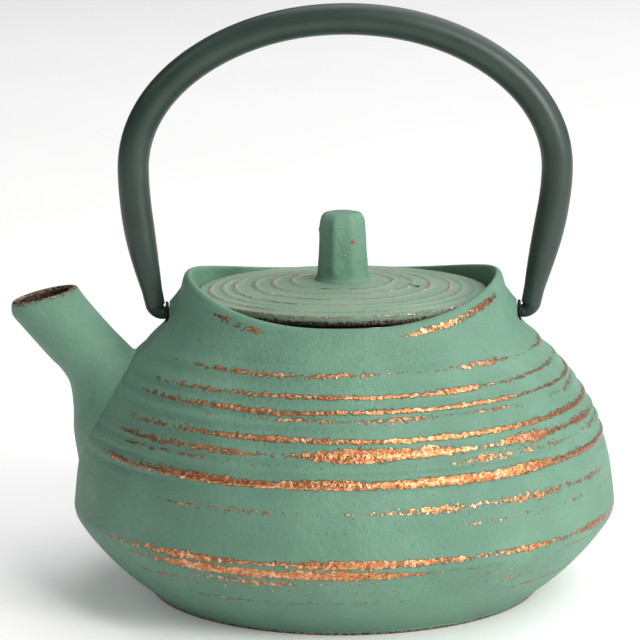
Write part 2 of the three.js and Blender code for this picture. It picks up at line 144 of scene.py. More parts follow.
# %% Meshes from grids
def grid_quads(rows, columns, ring=False):
    """Corners of the quads of a grid whose columns close on themselves. With ring, its rows
    close on themselves too. The faces look away from the axis when the rows run up it."""
    row = np.arange(rows if ring else rows - 1)[:, None]
    column = np.arange(columns)[None, :]
    above, beside = (row + 1) % rows, (column + 1) % columns
    corners_of = [(row, column), (row, beside), (above, beside), (above, column)]
    return np.stack([r * columns + c for r, c in corners_of], -1).reshape(-1, 4)


CRISP_ANGLE = math.radians(38)


def build(name, points, quads, triangles=()):
    """A mesh object from points in millimetres, given its quads and triangles."""
    quads = np.asarray(quads, np.int32).reshape(-1, 4)
    triangles = np.asarray(triangles, np.int32).reshape(-1, 3)
    mesh = bpy.data.meshes.new(name)
    mesh.vertices.add(len(points))
    mesh.vertices.foreach_set("co", (np.asarray(points) * MM).astype(np.float32).ravel())
    loops = np.concatenate([quads.ravel(), triangles.ravel()])
    mesh.loops.add(len(loops))
    mesh.loops.foreach_set("vertex_index", loops)
    starts = np.concatenate([
        np.arange(len(quads)) * 4,
        len(quads) * 4 + np.arange(len(triangles)) * 3,
    ]).astype(np.int32)
    mesh.polygons.add(len(starts))
    mesh.polygons.foreach_set("loop_start", starts)
    mesh.update(calc_edges=True)
    mesh.validate()
    finish_edges(mesh)
    piece = bpy.data.objects.new(name, mesh)
    bpy.context.scene.collection.objects.link(piece)
    print(f"{name}: {2 * len(quads) + len(triangles)} triangles")
    return piece


def finish_edges(mesh):
    """Shades the faces smooth, and keeps the edges crisp that turn by more than CRISP_ANGLE."""
    mesh.polygons.foreach_set("use_smooth", np.ones(len(mesh.polygons), bool))
    mesh.set_sharp_from_angle(angle=CRISP_ANGLE)


def closed_grid(name, grid, poles=(), ring=False):
    """A mesh from a grid of rows and columns of points, with a fan of triangles to each pole:
    the first closes the first row, the second the last."""
    rows, columns = grid.shape[:2]
    points = [grid.reshape(-1, 3)]
    fans = []
    here = np.arange(columns)
    beside = (here + 1) % columns
    for i, pole in enumerate(poles):
        tip = np.full(columns, rows * columns + i)
        start = i * (rows - 1) * columns
        pair = (beside, here) if i == 0 else (here, beside)
        fans.append(np.stack([pair[0] + start, pair[1] + start, tip], -1))
        points.append(np.array([pole], float))
    triangles = np.concatenate(fans) if fans else ()
    return build(name, np.concatenate(points), grid_quads(rows, columns, ring), triangles)


def full_turn(columns):
    """That many equal steps of angle round a circle, from 0 on."""
    return np.linspace(0, 2 * np.pi, columns, endpoint=False)


def upright(radius, angle, height):
    """Points round the Z axis: x = r cos a, y = r sin a, z = height."""
    x, y = radius * np.cos(angle), radius * np.sin(angle)
    return np.stack([x, y, np.broadcast_to(height, x.shape)], -1)


def turned(profile, columns):
    """The profile's [radius, height] points carried round the Z axis."""
    profile = np.asarray(profile, float)
    return upright(profile[:, :1], full_turn(columns), profile[:, 1:])


def turned_piece(name, profile, columns=96, ring=False):
    """A turned piece. A ring's profile closes on itself; any other starts and ends on the axis."""
    if ring:
        return closed_grid(name, turned(profile, columns), ring=True)
    ends = [(0, 0, profile[0][1]), (0, 0, profile[-1][1])]
    return closed_grid(name, turned(profile[1:-1], columns), ends)


def rounded(points, radius, steps=5):
    """A profile whose inner corners are rounded. Each corner gives way to a short curve
    (1 - t)^2 a + 2t(1 - t) corner + t^2 b between the points a and b on its two sides, each at
    the radius from it, or at 45% of a side shorter than that."""
    p = np.asarray(points, float)
    before, corner, after = p[:-2], p[1:-1], p[2:]
    into, out = before - corner, after - corner
    long_in = np.linalg.norm(into, axis=1, keepdims=True)
    long_out = np.linalg.norm(out, axis=1, keepdims=True)
    a = corner + into / long_in * np.minimum(radius, 0.45 * long_in)
    b = corner + out / long_out * np.minimum(radius, 0.45 * long_out)
    t = np.linspace(0, 1, steps)[None, :, None]
    bends = (1 - t)**2 * a[:, None] + 2 * t * (1 - t) * corner[:, None] + t**2 * b[:, None]
    return np.vstack([p[:1], bends.reshape(-1, p.shape[1]), p[-1:]])


# %% Holes
WELD = 0.004


def cut(piece, *tools):
    """Cuts the tools out of a piece, one after another, with a Boolean modifier that is then
    applied, removes the tools, and joins points that the cuts left on top of each other."""
    for tool in tools:
        knife = piece.modifiers.new("cut", "BOOLEAN")
        knife.object = tool
        knife.operation = "DIFFERENCE"
        knife.solver = "EXACT"
        graph = bpy.context.evaluated_depsgraph_get()
        mesh = bpy.data.meshes.new_from_object(piece.evaluated_get(graph))
        piece.modifiers.clear()
        piece.data = mesh
        bpy.data.objects.remove(tool)
    work = bmesh.new()
    work.from_mesh(piece.data)
    bmesh.ops.remove_doubles(work, verts=work.verts, dist=WELD * MM)
    work.to_mesh(piece.data)
    work.free()
    finish_edges(piece.data)


def rod(start, end, radius, columns=40):
    """A round bar from one point to another, as a tool for holes: a circle in two directions
    square to the bar, at both ends, with its ends closed."""
    start, end = np.array(start, float), np.array(end, float)
    along = (end - start) / np.linalg.norm(end - start)
    side = np.cross(along, (0, 1, 0) if abs(along[1]) < 0.9 else (1, 0, 0))
    side /= np.linalg.norm(side)
    other = np.cross(along, side)
    angle = full_turn(columns)[:, None]
    circle = radius * (np.cos(angle) * side + np.sin(angle) * other)
    return closed_grid("tool", np.stack([start + circle, end + circle]), (start, end))


def places(piece):
    """A piece's vertices in millimetres, as an array."""
    co = np.empty(len(piece.data.vertices) * 3, np.float32)
    piece.data.vertices.foreach_get("co", co)
    return co.reshape(-1, 3).astype(float) / MM


def polar(points):
    """The points' angles round the Z axis and their distances from it."""
    return np.arctan2(points[:, 1], points[:, 0]), np.hypot(points[:, 0], points[:, 1])


def paint(piece, name, values):
    """Stores one number for each vertex under a name that a material can read."""
    attribute = piece.data.attributes.new(name, "FLOAT", "POINT")
    attribute.data.foreach_set("value", np.asarray(values, np.float32))


def hand_in(piece, node, body, finish):
    """Gives a piece its finish, hides the node of the imported model that it stands for, and hangs
    it on the body that carries it."""
    piece.data.materials.append(finish)
    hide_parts(node)
    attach(piece, body)


# %% [markdown]
# ## Shader maths
#
# A material is a graph of nodes, but a formula is easier to read than a graph. The small class
# below wraps one output of a node, so that `mask * 0.5 + grain` adds the Math nodes by itself.
# Colours and vectors go through Mix and Vector Math nodes, because a Math node would turn a
# colour grey. All patterns read Object coordinates, turned into millimetres once.

# %% The wire and the finish
class Wire:
    """One output of a shader node, with the operators that shader maths uses."""

    def __init__(self, finish, socket):
        self.finish = finish
        self.socket = socket

    def maths(self, operation, *values):
        return self.finish.node("ShaderNodeMath", {"operation": operation}, dict(enumerate(values)))

    def __add__(self, other):
        return self.maths("ADD", self, other)

    def __sub__(self, other):
        return self.maths("SUBTRACT", self, other)

    def __rsub__(self, other):
        return self.maths("SUBTRACT", other, self)

    def __mul__(self, other):
        return self.maths("MULTIPLY", self, other)

    __radd__ = __add__
    __rmul__ = __mul__

    def lower(self, other):
        return self.maths("MINIMUM", self, other)

    def higher(self, other):
        return self.maths("MAXIMUM", self, other)

    def rise(self, low, high):
        """0 below low, 1 above high, with a smooth step between them."""
        return self.finish.node("ShaderNodeMapRange", {"interpolation_type": "SMOOTHSTEP"}, {
            "Value": self, "From Min": low, "From Max": high, "To Min": 0.0, "To Max": 1.0,
        })


class Finish:
    """A material, with one method that adds any node and a few that name common ones."""

    def __init__(self, name):
        self.material = bpy.data.materials.new(name)
        self.material.use_nodes = True
        self.tree = self.material.node_tree
        self.shader = self.tree.nodes["Principled BSDF"]
        raw = self.node("ShaderNodeTexCoord", output="Object")
        self.place = self.node(
            "ShaderNodeVectorMath", {"operation": "SCALE"}, {0: raw, "Scale": 1 / MM})

    def node(self, kind, settings=None, sockets=None, output=0):
        """Adds a node: its settings first, then the values or wires of its sockets."""
        made = self.tree.nodes.new(kind)
        for key, value in (settings or {}).items():
            setattr(made, key, value)
        for key, value in (sockets or {}).items():
            self.feed(made.inputs[key], value)
        return Wire(self, made.outputs[output])

    def feed(self, socket, value):
        if isinstance(value, Wire):
            self.tree.links.new(value.socket, socket)
        else:
            socket.default_value = value

    def stretched(self, x, y, z):
        """The place with each axis multiplied, which makes a pattern shorter along it."""
        return self.node(
            "ShaderNodeVectorMath", {"operation": "MULTIPLY"}, {0: self.place, 1: (x, y, z)})

    def noise(self, size, detail=2.0, place=None, rough=0.5, output="Fac"):
        """Soft random patches about as many millimetres across as size."""
        return self.node("ShaderNodeTexNoise", None, {
            "Vector": place or self.place, "Scale": 1 / size, "Detail": detail,
            "Roughness": rough,
        }, output)

    def dots(self, size, share, radius):
        """Round dots: the given share of cells, each size millimetres across, holds one."""
        cells = {"Vector": self.place, "Scale": 1 / size}
        distance = self.node("ShaderNodeTexVoronoi", None, cells, "Distance")
        colour = self.node("ShaderNodeTexVoronoi", None, cells, "Color")
        chance = self.node("ShaderNodeSeparateColor", None, {"Color": colour}, "Red")
        chosen = chance.rise(1 - share, 1 - share + 0.01)
        return (1 - distance.rise(radius / size * 0.6, radius / size)) * chosen

    def attribute(self, name):
        return self.node("ShaderNodeAttribute", {"attribute_name": name}, None, "Fac")

    def mix(self, mask, colour_a, colour_b):
        """colour_a where the mask is 0 and colour_b where it is 1."""
        return self.node(
            "ShaderNodeMix", {"data_type": "RGBA"}, {0: mask, 6: colour_a, 7: colour_b}, 2)

    def bump(self, height, depth, strength=1.0):
        """A normal from a height whose unit is depth, in millimetres."""
        sockets = {"Height": height, "Distance": depth * MM, "Strength": strength}
        return self.node("ShaderNodeBump", None, sockets, "Normal")

    def set(self, **values):
        """Sets the shader's sockets; an underscore stands for a space."""
        for key, value in values.items():
            self.feed(self.shader.inputs[key.replace("_", " ")], value)
        return self.material


def rgb(red, green, blue):
    """A colour as the eye counts it, 0 to 255, made linear: ((c + 0.055) / 1.055)^2.4."""
    seen = np.array([red, green, blue]) / 255
    linear = np.where(seen > 0.04045, ((seen + 0.055) / 1.055)**2.4, seen / 12.92)
    return (*linear, 1.0)


# %% [markdown]
# ## The paint and the copper under it
#
# The pot is cast, coated with a copper-coloured metal paint and sprayed matt green over it. Then
# a cloth rubs the green off wherever the casting stands proud. So the copper follows the shape,
# in long broken lines with ragged, granular edges. The shape knows where a band lies: each
# vertex holds how many millimetres it is inside a band, worked out with numpy. The shader adds
# two noises to that distance, one drawn out along the ring and one as fine as sand, and shows
# copper where the sum is over zero. Both layers are rough like fine sandpaper, and the copper
# reflects, so its grains glint; near-white specks on the copper add painted glints. Round the
# pot's left and right sides the copper is painted browner, as painted shade.

# %% The pot's finish
def paint_finish(name, light, deep, dull, shiny, border, streak=1.0):
    """Green paint between two greens, over copper between two tones with a darker border where
    the paint still lies thin on it, and near-white specks of painted glint on the copper. Reads
    six attributes: rub, millimetres inside a copper band; broken, 1 where that band falls apart
    into specks; tarnish_and_shade, 1 where the copper is browner: painted shade round the pot's
    left and right sides, tarnish on the spout, and at the front of the lid; bare, 1 where the
    iron is bare; dark, 1 on the black lining; and chip, 1 on a red chip."""
    fin = Finish(name)
    drawn_out = fin.noise(2.6, 3.0, fin.stretched(1.0, 1.0, 3.0))
    sand = fin.noise(0.45, 2.0)
    coarse = fin.noise(1.1, 2.0)
    broken = fin.attribute("broken")
    rub = fin.attribute("rub") + (drawn_out - 0.5) * (broken * 1.6 + 1.3) * streak
    rub = rub + (coarse - 0.5) * (broken * 2.6 + 0.7) * streak
    rub = rub + (sand - 0.5) * (broken * 1.0 + 0.8)
    copper = rub.rise(-0.06, 0.08)
    edge = rub.rise(-0.22, -0.04) * (1 - copper)

    cloudy = fin.noise(22.0, 3.0)
    mottle = fin.noise(2.2, 3.0)
    green = fin.mix(cloudy.rise(0.34, 0.66), deep, light)
    green = fin.mix(mottle.rise(0.35, 0.75) * 0.35, green, deep)
    pits = fin.dots(2.9, 0.30, 0.26).higher(fin.dots(1.7, 0.12, 0.2))
    green = fin.mix(pits * 0.7, green, rgb(34, 48, 40))
    dust = fin.dots(4.3, 0.12, 0.24)
    green = fin.mix(dust * 0.6, green, rgb(190, 208, 194))
    green = fin.mix(edge * 0.6 * streak, green, rgb(62, 66, 48))

    tint = fin.noise(1.7, 2.0)
    metal = fin.mix(tint.rise(0.3, 0.7), dull, shiny)
    metal = fin.mix(coarse.rise(0.26, 0.46), rgb(150, 90, 54), metal)
    metal = fin.mix(sand.rise(0.30, 0.44), rgb(128, 76, 46), metal)
    # Painted glints: near-white specks on the copper.
    metal = fin.mix(coarse.rise(0.54, 0.66) * 0.45, metal, rgb(255, 230, 198))
    metal = fin.mix(rub.rise(0.0, 0.2), border, metal)
    # Browner, speckled copper where this attribute is high: painted shade round the pot's left and
    # right sides, tarnish on the spout.
    metal = fin.mix(fin.attribute("tarnish_and_shade"), metal, fin.mix(sand, rgb(84, 50, 32), metal))
    colour = fin.mix(copper, green, metal)

    grit = fin.noise(0.6, 2.0)
    iron = fin.mix(grit.rise(0.44, 0.62), rgb(56, 48, 39), rgb(172, 149, 120))
    bare = (fin.attribute("bare") + (coarse - 0.5) * 0.9).rise(0.42, 0.56)
    colour = fin.mix(bare, colour, iron)
    lining = fin.attribute("dark")
    colour = fin.mix(lining, colour, rgb(32, 32, 31))
    colour = fin.mix(fin.attribute("chip").rise(0.4, 0.6), colour, rgb(158, 58, 52))

    painted = (1 - bare) * (1 - lining)
    grain = fin.noise(0.5, 3.0, None, 0.6)
    lumps = fin.noise(1.3, 2.0)
    relief = grain * 0.8 + lumps * 1.0 - pits * 0.5 + copper * (sand * 0.5 + coarse * 1.2 + 0.15)
    relief = relief + bare * grit * 1.4
    roughness = 0.58 + (grain - 0.5) * 0.12 - copper * 0.32 - lining * 0.2
    return fin.set(
        Base_Color=colour,
        Metallic=(copper * painted * 0.94 + bare * 0.6).lower(1.0),
        Roughness=roughness,
        Normal=fin.bump(relief, 0.24, 1.0),
        Specular_IOR_Level=0.45,
    )


pot_paint = paint_finish(
    "pot_paint", rgb(106, 147, 125), rgb(94, 134, 113), rgb(188, 114, 70), rgb(226, 160, 108),
    rgb(132, 82, 54))

# %% [markdown]
# ## The pot
#
# The outline is one smooth line from the base out to the belly and in to the neck. Eight low
# rings are cast round the shoulder. The neck's rim is a saddle: low at the front and the back,
# and drawn up into two ears that carry the handle. Turning the profile first and lifting the
# neck afterwards keeps the grid even, and the inside of the pot comes from the same outline,
# moved in by the wall.

# %% The outline and its rings
LOWER_OUTLINE = [[0, 0], [0.12, 0.16], [0.33, 0.44], [0.61, 0.735], [0.88, 0.955], [1, 1]]
UPPER_OUTLINE = [
    [0, 0], [0.16, 0.036], [0.26, 0.076], [0.38, 0.147], [0.51, 0.28], [0.645, 0.478],
    [0.765, 0.706], [0.88, 0.905], [1, 1], [1.08, 1.03],
]
RING_SHARES = [0.367, 0.429, 0.486, 0.553, 0.617, 0.667, 0.726, 0.81]
RING_Z = BELLY_Z + (RIM_Z - BELLY_Z) * np.array(RING_SHARES)
RINGS_START_Z = BELLY_Z + (RIM_Z - BELLY_Z) * 0.322
RING_HALF_DEPTH = 0.35

lower = smooth_line(LOWER_OUTLINE, 40)
upper = smooth_line(UPPER_OUTLINE, 40)
OUTLINE_Z = np.concatenate([lower[:-1, 0] * BELLY_Z, BELLY_Z + upper[:, 0] * (NECK_Z - BELLY_Z)])
OUTLINE_R = np.concatenate([
    BASE_R + (BELLY_R - BASE_R) * lower[:-1, 1],
    BELLY_R + (NECK_R - BELLY_R) * upper[:, 1],
])


def outline(z):
    """Outside radius of the plain pot at a height, read off the smooth line."""
    return np.interp(z, OUTLINE_Z, OUTLINE_R)


def ring_height(z):
    """How far the rings stand out: cos(pi u), with u from -1 to 1 between the notches on the
    two sides of a crest, and nothing below the first ring or above the last."""
    notches = np.concatenate([
        [RINGS_START_Z],
        (RING_Z[:-1] + RING_Z[1:]) / 2,
        [NECK_FOOT_Z],
    ])
    which = np.clip(np.searchsorted(notches, z) - 1, 0, len(RING_Z) - 1)
    crest = RING_Z[which]
    below = (z - crest) / (crest - notches[which])
    above = (z - crest) / (notches[which + 1] - crest)
    u = np.clip(np.where(z < crest, below, above), -1, 1)
    wave = RING_HALF_DEPTH * np.cos(np.pi * u)
    ends = smooth_step(RINGS_START_Z - 1.4, RINGS_START_Z + 0.6, z)
    return wave * ends * (1 - smooth_step(NECK_FOOT_Z - 0.6, NECK_FOOT_Z + 1.4, z))


def rim_height(angle):
    """The rim's height: the low rim plus the ears' rise times |cos a|^2.6. At the back it is a
    little higher in the middle, by BACK_RISE sin a, and the ears rise less from there."""
    middle = BACK_RISE * smooth_step(0, 0.8, np.sin(angle))
    return RIM_Z + middle + (EAR_RISE - middle) * np.abs(np.cos(angle))**2.6


# %% The pot's surface
COLUMNS = 384
FOOT_ROUND = 1.2
BODY_Z = np.concatenate([
    np.arange(1.3, 42.0, 0.52),
    np.arange(42.0, NECK_FOOT_Z, 0.37),
])
LIP = [
    [0.0, 0.0], [0.12, 0.0], [0.24, 0.0], [0.36, 0.0], [0.48, 0.0], [0.6, 0.0], [0.72, 0.0],
    [0.82, 0.02], [0.89, 0.1], [0.95, 0.35], [0.985, 0.75], [1.0, 1.25], [0.997, 1.7],
    [0.975, 2.1], [0.93, 2.38], [0.86, 2.5],
]
LEDGE_FOOT_Z = LEDGE_Z - 7.0


def foot_rows():
    """From near the base's middle out over the flat base, then a quarter circle up its edge."""
    flat = [[r, 0.0] for r in (12, 26, 38, 46, 50)]
    turn = np.linspace(0, np.pi / 2, 6)
    centre = outline(FOOT_ROUND) - FOOT_ROUND
    edge = np.stack([
        centre + FOOT_ROUND * np.sin(turn),
        FOOT_ROUND * (1 - np.cos(turn)),
    ], -1)
    return np.vstack([flat, edge])


def inside_rows():
    """Down from the seat: the ledge, the slope under it, the wall that follows the outside at
    the wall's thickness, and the floor."""
    heights = np.linspace(LEDGE_FOOT_Z - 0.8, FLOOR_Z + 5.0, 34)
    level_wall = WALL * np.where(heights > 60, 1.35, 1.1)
    level_wall = np.convolve(np.pad(level_wall, 2, "edge"), np.ones(5) / 5, "valid")
    wall = np.stack([outline(heights) - level_wall, heights], -1)
    corner = rounded([
        wall[-1], [BASE_R - 0.5, FLOOR_Z + 1.2], [BASE_R - 7, FLOOR_Z], [36, FLOOR_Z],
    ], 4.0, 6)[1:-1]
    ledge = rounded([
        [SEAT_R + 0.5, LEDGE_Z + 1.2], [SEAT_R, LEDGE_Z], [MOUTH_R, LEDGE_Z],
        [MOUTH_R, LEDGE_Z - 4.2], [MOUTH_R + 2.8, LEDGE_FOOT_Z], wall[0],
    ], 0.5, 4)[1:-1]
    floor = [[r, FLOOR_Z] for r in (36, 24, 12)]
    return np.vstack([ledge, wall, corner, floor])


def pot_grid():
    """The profile turned round the axis. The neck's rows lie between its foot and the rim's own
    height at their angle: z = foot + share (rim - foot), radius = outline(z) - inset."""
    angle = full_turn(COLUMNS)[None, :]
    foot = foot_rows()
    inside = inside_rows()
    body_z = np.broadcast_to(BODY_Z[:, None], (len(BODY_Z), COLUMNS))
    shift = 0.22 * wander(angle, 11, 6, 2) + 0.14 * np.sin(3 * angle + body_z / 7)
    uneven = 0.10 * wander(angle, 5, 6, 2) * np.sin(body_z / 9) + 0.06 * wander(angle, 8, 14, 6)
    beside_spout = 0.35 + 0.65 * smooth_step(0.35, 0.6, np.abs(angle - np.pi))
    body_r = outline(body_z) + ring_height(body_z + shift) * beside_spout + uneven
    share, inset = (np.array(LIP)[:, i:i + 1] for i in (0, 1))
    lip_z = NECK_FOOT_Z + share * (rim_height(angle) - NECK_FOOT_Z)
    lip_r = outline(lip_z) - inset + ring_height(lip_z + shift[:1]) + uneven[-1:] * (1 - share)
    lip_r = np.maximum(lip_r, SEAT_R + 0.2)
    return np.concatenate([
        turned(foot, COLUMNS), upright(body_r, angle, body_z), upright(lip_r, angle, lip_z),
        turned(inside, COLUMNS),
    ])


PAD_R, PAD_BLEND_R = 3.1, 6.5


def with_pads(grid):
    """Presses a round flat into each ear, square to the pivot axis, for the handle's washer."""
    outside = np.hypot(grid[..., 0], grid[..., 1]) > SEAT_R + 2
    distance = np.hypot(grid[..., 1], grid[..., 2] - PIVOT_Z)
    near = (1 - smooth_step(PAD_R, PAD_BLEND_R, distance)) * outside
    flat_x = np.sign(grid[..., 0]) * PAD_X
    grid[..., 0] += (flat_x - grid[..., 0]) * near
    return grid


pot = closed_grid("pot_shell", with_pads(pot_grid()), [(0, 0, 0), (0, 0, FLOOR_Z)])

# %% [markdown]
# The spout's hole and the two blind holes for the handle's pins are drilled, so a Boolean cut is
# the honest way to make them: a rod is taken away from the finished casting.

# %% Drill the holes
ROOT_TOP_Z = RIM_Z - 14.4
ROOT_BOTTOM_Z = ROOT_TOP_Z - 30.5
ROOT_Z = (ROOT_TOP_Z + ROOT_BOTTOM_Z) / 2
root_top = np.array([-outline(ROOT_TOP_Z), ROOT_TOP_Z])
root_bottom = np.array([-outline(ROOT_BOTTOM_Z), ROOT_BOTTOM_Z])
root_line = root_top - root_bottom
into_pot = np.array([root_line[1], -root_line[0]]) / np.linalg.norm(root_line)
hole_middle = (root_top + root_bottom) / 2
hole_ends = [hole_middle + into_pot * reach for reach in (-12, 12)]
SPOUT_HOLE_R = 6.5
PIN_HOLE_R = 1.95
PIN_HOLE_END_X, PAST_THE_EAR_X = PAD_X - 6, 60

cut(
    pot,
    rod(*[(x, 0, z) for x, z in hole_ends], SPOUT_HOLE_R),
    *[rod((side * PIN_HOLE_END_X, 0, PIVOT_Z), (side * PAST_THE_EAR_X, 0, PIVOT_Z), PIN_HOLE_R)
      for side in (1, -1)],
)

# %% [markdown]
# ## Where the cloth rubbed
#
# Each band is a line round the pot with a half width. Its height wanders a little, and its half
# width swells and shrinks, so that it breaks up where it goes below zero. A vertex keeps the
# greatest value over all bands: how far inside the nearest one it lies. Some bands also swell
# or thin out over one stretch, where the cloth pressed harder or missed them.

# %% Copper bands
SPOUT_SIDE = np.pi
NOT_RUBBED = -4.0
# Each band: height, half width, how much the width varies, how broken it is, seed.
BANDS = [
    [75.2, -0.45, 0.40, 1.0, 21], [70.2, 0.10, 0.50, 0.4, 22], [65.5, 0.42, 0.12, 0.0, 23],
    [62.1, 0.50, 0.10, 0.0, 24], [60.0, -0.05, 0.30, 0.5, 25], [55.7, 0.54, 0.10, 0.0, 26],
    [52.0, 0.35, 0.60, 0.5, 27], [49.4, -0.30, 0.60, 1.0, 28], [45.1, 0.92, 0.25, 0.1, 29],
    [37.9, -0.20, 0.50, 1.0, 30], [33.7, -0.40, 0.45, 1.0, 31], [24.7, 0.50, 0.30, 0.3, 32],
    [21.9, 0.45, 0.40, 0.3, 33], [18.9, -0.25, 0.45, 1.0, 34], [16.4, -0.22, 0.45, 1.0, 35],
    [12.2, 0.06, 0.24, 0.2, 36],
]
# Each swelling: the band's height, degrees to the right of the front, half its length in
# degrees, millimetres added.
SWELLINGS = [
    [52.0, 24, 40, 0.6], [49.4, 20, 22, 0.55], [45.1, 20, 30, 0.25], [37.9, 46, 40, 0.35],
    [37.9, 8, 16, 0.3], [24.7, -18, 34, 0.35], [21.9, -16, 30, 0.6], [21.9, 50, 50, -0.4],
    [24.7, 60, 50, 0.1], [65.5, 62, 30, -0.35], [62.1, 70, 24, -0.3], [70.2, -30, 40, 0.25],
]


def front(degrees):
    """An angle round the pot, counted from the front, to the right."""
    return math.radians(degrees - 90)


def hump(angle, middle, half):
    """1 in the middle of a stretch of angles and 0 at its ends, as a smooth hill."""
    off = np.abs((angle - middle + np.pi) % (2 * np.pi) - np.pi)
    return 1 - smooth_step(0.55 * half, half, off)


def copper_bands(points):
    """Millimetres inside the nearest band, for the vertices of the pot's outside, and how
    broken that band is."""
    angle, z = polar(points)[0], points[:, 2]
    near_spout = hump(angle, SPOUT_SIDE, math.radians(34))
    inside = np.full(len(points), NOT_RUBBED)
    broken = np.zeros(len(points))
    for height, half, varies, breaks, seed in BANDS:
        line = height + 0.25 * wander(angle, seed + 40, 5, 1)
        line = line + 0.08 * wander(angle, seed + 80, 9, 7)
        width = half + varies * wander(angle, seed, 16, 2) * 0.8 - 1.8 * near_spout
        for level, middle, reach, extra in SWELLINGS:
            if level == height:
                width = width + extra * hump(angle, front(middle), math.radians(reach))
        here = width - np.abs(z - line)
        broken = np.where(here > inside, breaks, broken)
        inside = np.maximum(inside, here)
    return inside, broken


def rim_patches(points):
    """The same for two rubbed stretches just under the low rim at the front."""
    angle, radius = polar(points)
    line = rim_height(angle) - 2.4
    inside = np.full(len(points), NOT_RUBBED)
    for middle, half, width in [(-38, 16, 0.5), (45, 33, 0.75), (150, 30, 0.4), (-140, 22, 0.2)]:
        on = hump(angle, front(middle), math.radians(half))
        inside = np.maximum(inside, width * on - 1.6 * (1 - on) - np.abs(points[:, 2] - line))
    return np.where(radius > SEAT_R + 1.6, inside, NOT_RUBBED)


points = places(pot)
angle, radius = polar(points)
outside = radius > outline(points[:, 2]) - 2.2
outside |= points[:, 2] > LEDGE_Z + 0.4
rub, broken = copper_bands(points)
patches = rim_patches(points)
# The pot's left and right sides as seen from the front: there the copper is painted browner as
# painted shade, and on the left it is also thinner and more broken.
left_side_shade, right_side_shade = hump(angle, front(-72), 0.75), hump(angle, front(74), 0.60)
paint(pot, "broken", np.maximum(np.where(patches > rub, 0.4, broken), 0.8 * left_side_shade))
paint(pot, "tarnish_and_shade", 0.9 * (left_side_shade + right_side_shade))
rub = np.maximum(rub - 0.3 * left_side_shade, patches)
paint(pot, "rub", np.where(outside, rub, NOT_RUBBED))
paint(pot, "bare", 1 - smooth_step(0.3, 1.3, points[:, 2]))
lined = (~outside) & (points[:, 2] < LEDGE_Z - 0.6) & (points[:, 2] > 0.5)
paint(pot, "dark", lined)
hand_in(pot, "pot_body", "pot", pot_paint)

# %% [markdown]
# ## The spout
#
# The spout is cast in one with the pot, but it is easier to loft by itself: an oval section is
# carried from its wide root up to the lip. Each section has two ends in the middle plane and a
# half width, and a smooth line through the nine sections gives as many rows as the surface
# needs. The root runs a little way into the pot's wall, so that the crease between them is as
# crisp as on the casting. The bore comes from the same sections, drawn in by the wall.

# %% The spout's sections
SPOUT_WALL = 2.2
ROOT_THICKENING = 1.5
root_middle = np.array([-outline(ROOT_Z), ROOT_Z])


def standing(share, proud):
    """A point that stands proud of the pot, at a share of the root's height."""
    z = ROOT_BOTTOM_Z + (ROOT_TOP_Z - ROOT_BOTTOM_Z) * share
    return [-outline(z) - proud - root_middle[0], z - root_middle[1]]


# Each section: upper end x and z, lower end x and z, half width.
SECTIONS = np.array([
    [*standing(1, 0), *standing(0, 0), 18.3],
    [*standing(1.01, 1.25), *standing(0.26, 3.1), 16.6],
    [*standing(1.035, 2.8), *standing(0.5, 6.2), 13.9],
    [8.7, 17.5, -7.0, 6.4, 11.4],
    [7.1, 19.2, -9.3, 10.4, 9.9],
    [4.7, 21.8, -13.0, 14.3, 9.1],
    [-0.5, 27.9, -19.7, 22.2, 9.1],
    [-3.0, 31.1, -22.6, 25.9, 9.1],
    [-4.7, 33.6, -22.7, 29.4, 9.1],
])
SPOUT_COLUMNS = 96
SECTION_STEPS = 9


def oval(sections, inset):
    """Points round each section: middle + (upper - middle) k cos a in its plane and
    half k' sin a across, where k and k' draw it in by the inset."""
    upper_end, lower_end, half = sections[:, 0:2], sections[:, 2:4], sections[:, 4]
    middle = (upper_end + lower_end) / 2
    reach = upper_end - middle
    length = np.linalg.norm(reach, axis=1)
    inset = np.broadcast_to(inset, length.shape)
    k = ((length - inset) / length)[:, None]
    angle = full_turn(SPOUT_COLUMNS)[None, :]
    x = root_middle[0] + middle[:, :1] + reach[:, :1] * k * np.cos(angle)
    z = root_middle[1] + middle[:, 1:] + reach[:, 1:] * k * np.cos(angle)
    y = (half - inset)[:, None] * np.sin(angle)
    return np.stack([x, y, z], -1)


def moved(section, x, z):
    return section + np.array([x, z, x, z, 0])


def spout_grid():
    """Rows: the root's end in the wall, up the outside, over a rounded lip, down the bore and
    back to the root's end, where the last row meets the first."""
    smooth = smooth_line(SECTIONS, SECTION_STEPS)
    lip = SECTIONS[-1]
    below = SECTIONS[-1] - (SECTIONS[-1] - SECTIONS[-2]) * 0.2
    smooth = np.vstack([smooth[smooth[:, 1] < below[1] - 0.05], below])
    sunk = moved(SECTIONS[0], *(into_pot * 2.4))
    outer = np.vstack([sunk, smooth])
    turn = np.linspace(0, np.pi / 2, 6)[1:, None]
    outer_lip = below + (lip - below) * np.sin(turn)
    inner_lip = lip + (below - lip) * (1 - np.cos(turn)) * 0.8
    share = np.linspace(1, 0, len(smooth))
    growth = SPOUT_WALL * (1 + (ROOT_THICKENING - 1) * (1 - share))
    outside_rows = [oval(outer, 0.0), oval(outer_lip, 0.75 * (1 - np.cos(turn[:, 0])))]
    bore_rows = [
        oval(inner_lip, 0.75 + 0.75 * np.sin(turn[:, 0])),
        oval(smooth[::-1], growth),
        oval(sunk[None], SPOUT_WALL * ROOT_THICKENING),
    ]
    return np.concatenate(outside_rows), np.concatenate(bore_rows)


spout_outside, spout_bore = spout_grid()
spout = closed_grid(
    "spout_shell", np.concatenate([spout_outside, spout_bore]), ring=True)

# %% Finish the spout
def lip_depth(points):
    """How far a point lies below the plane of the lip."""
    low = root_middle + SECTIONS[-1, 2:4]
    high = root_middle + SECTIONS[-1, 0:2]
    line = (high - low) / np.linalg.norm(high - low)
    normal = np.array([-line[1], line[0]])
    return -((points[:, [0, 2]] - low) @ normal)


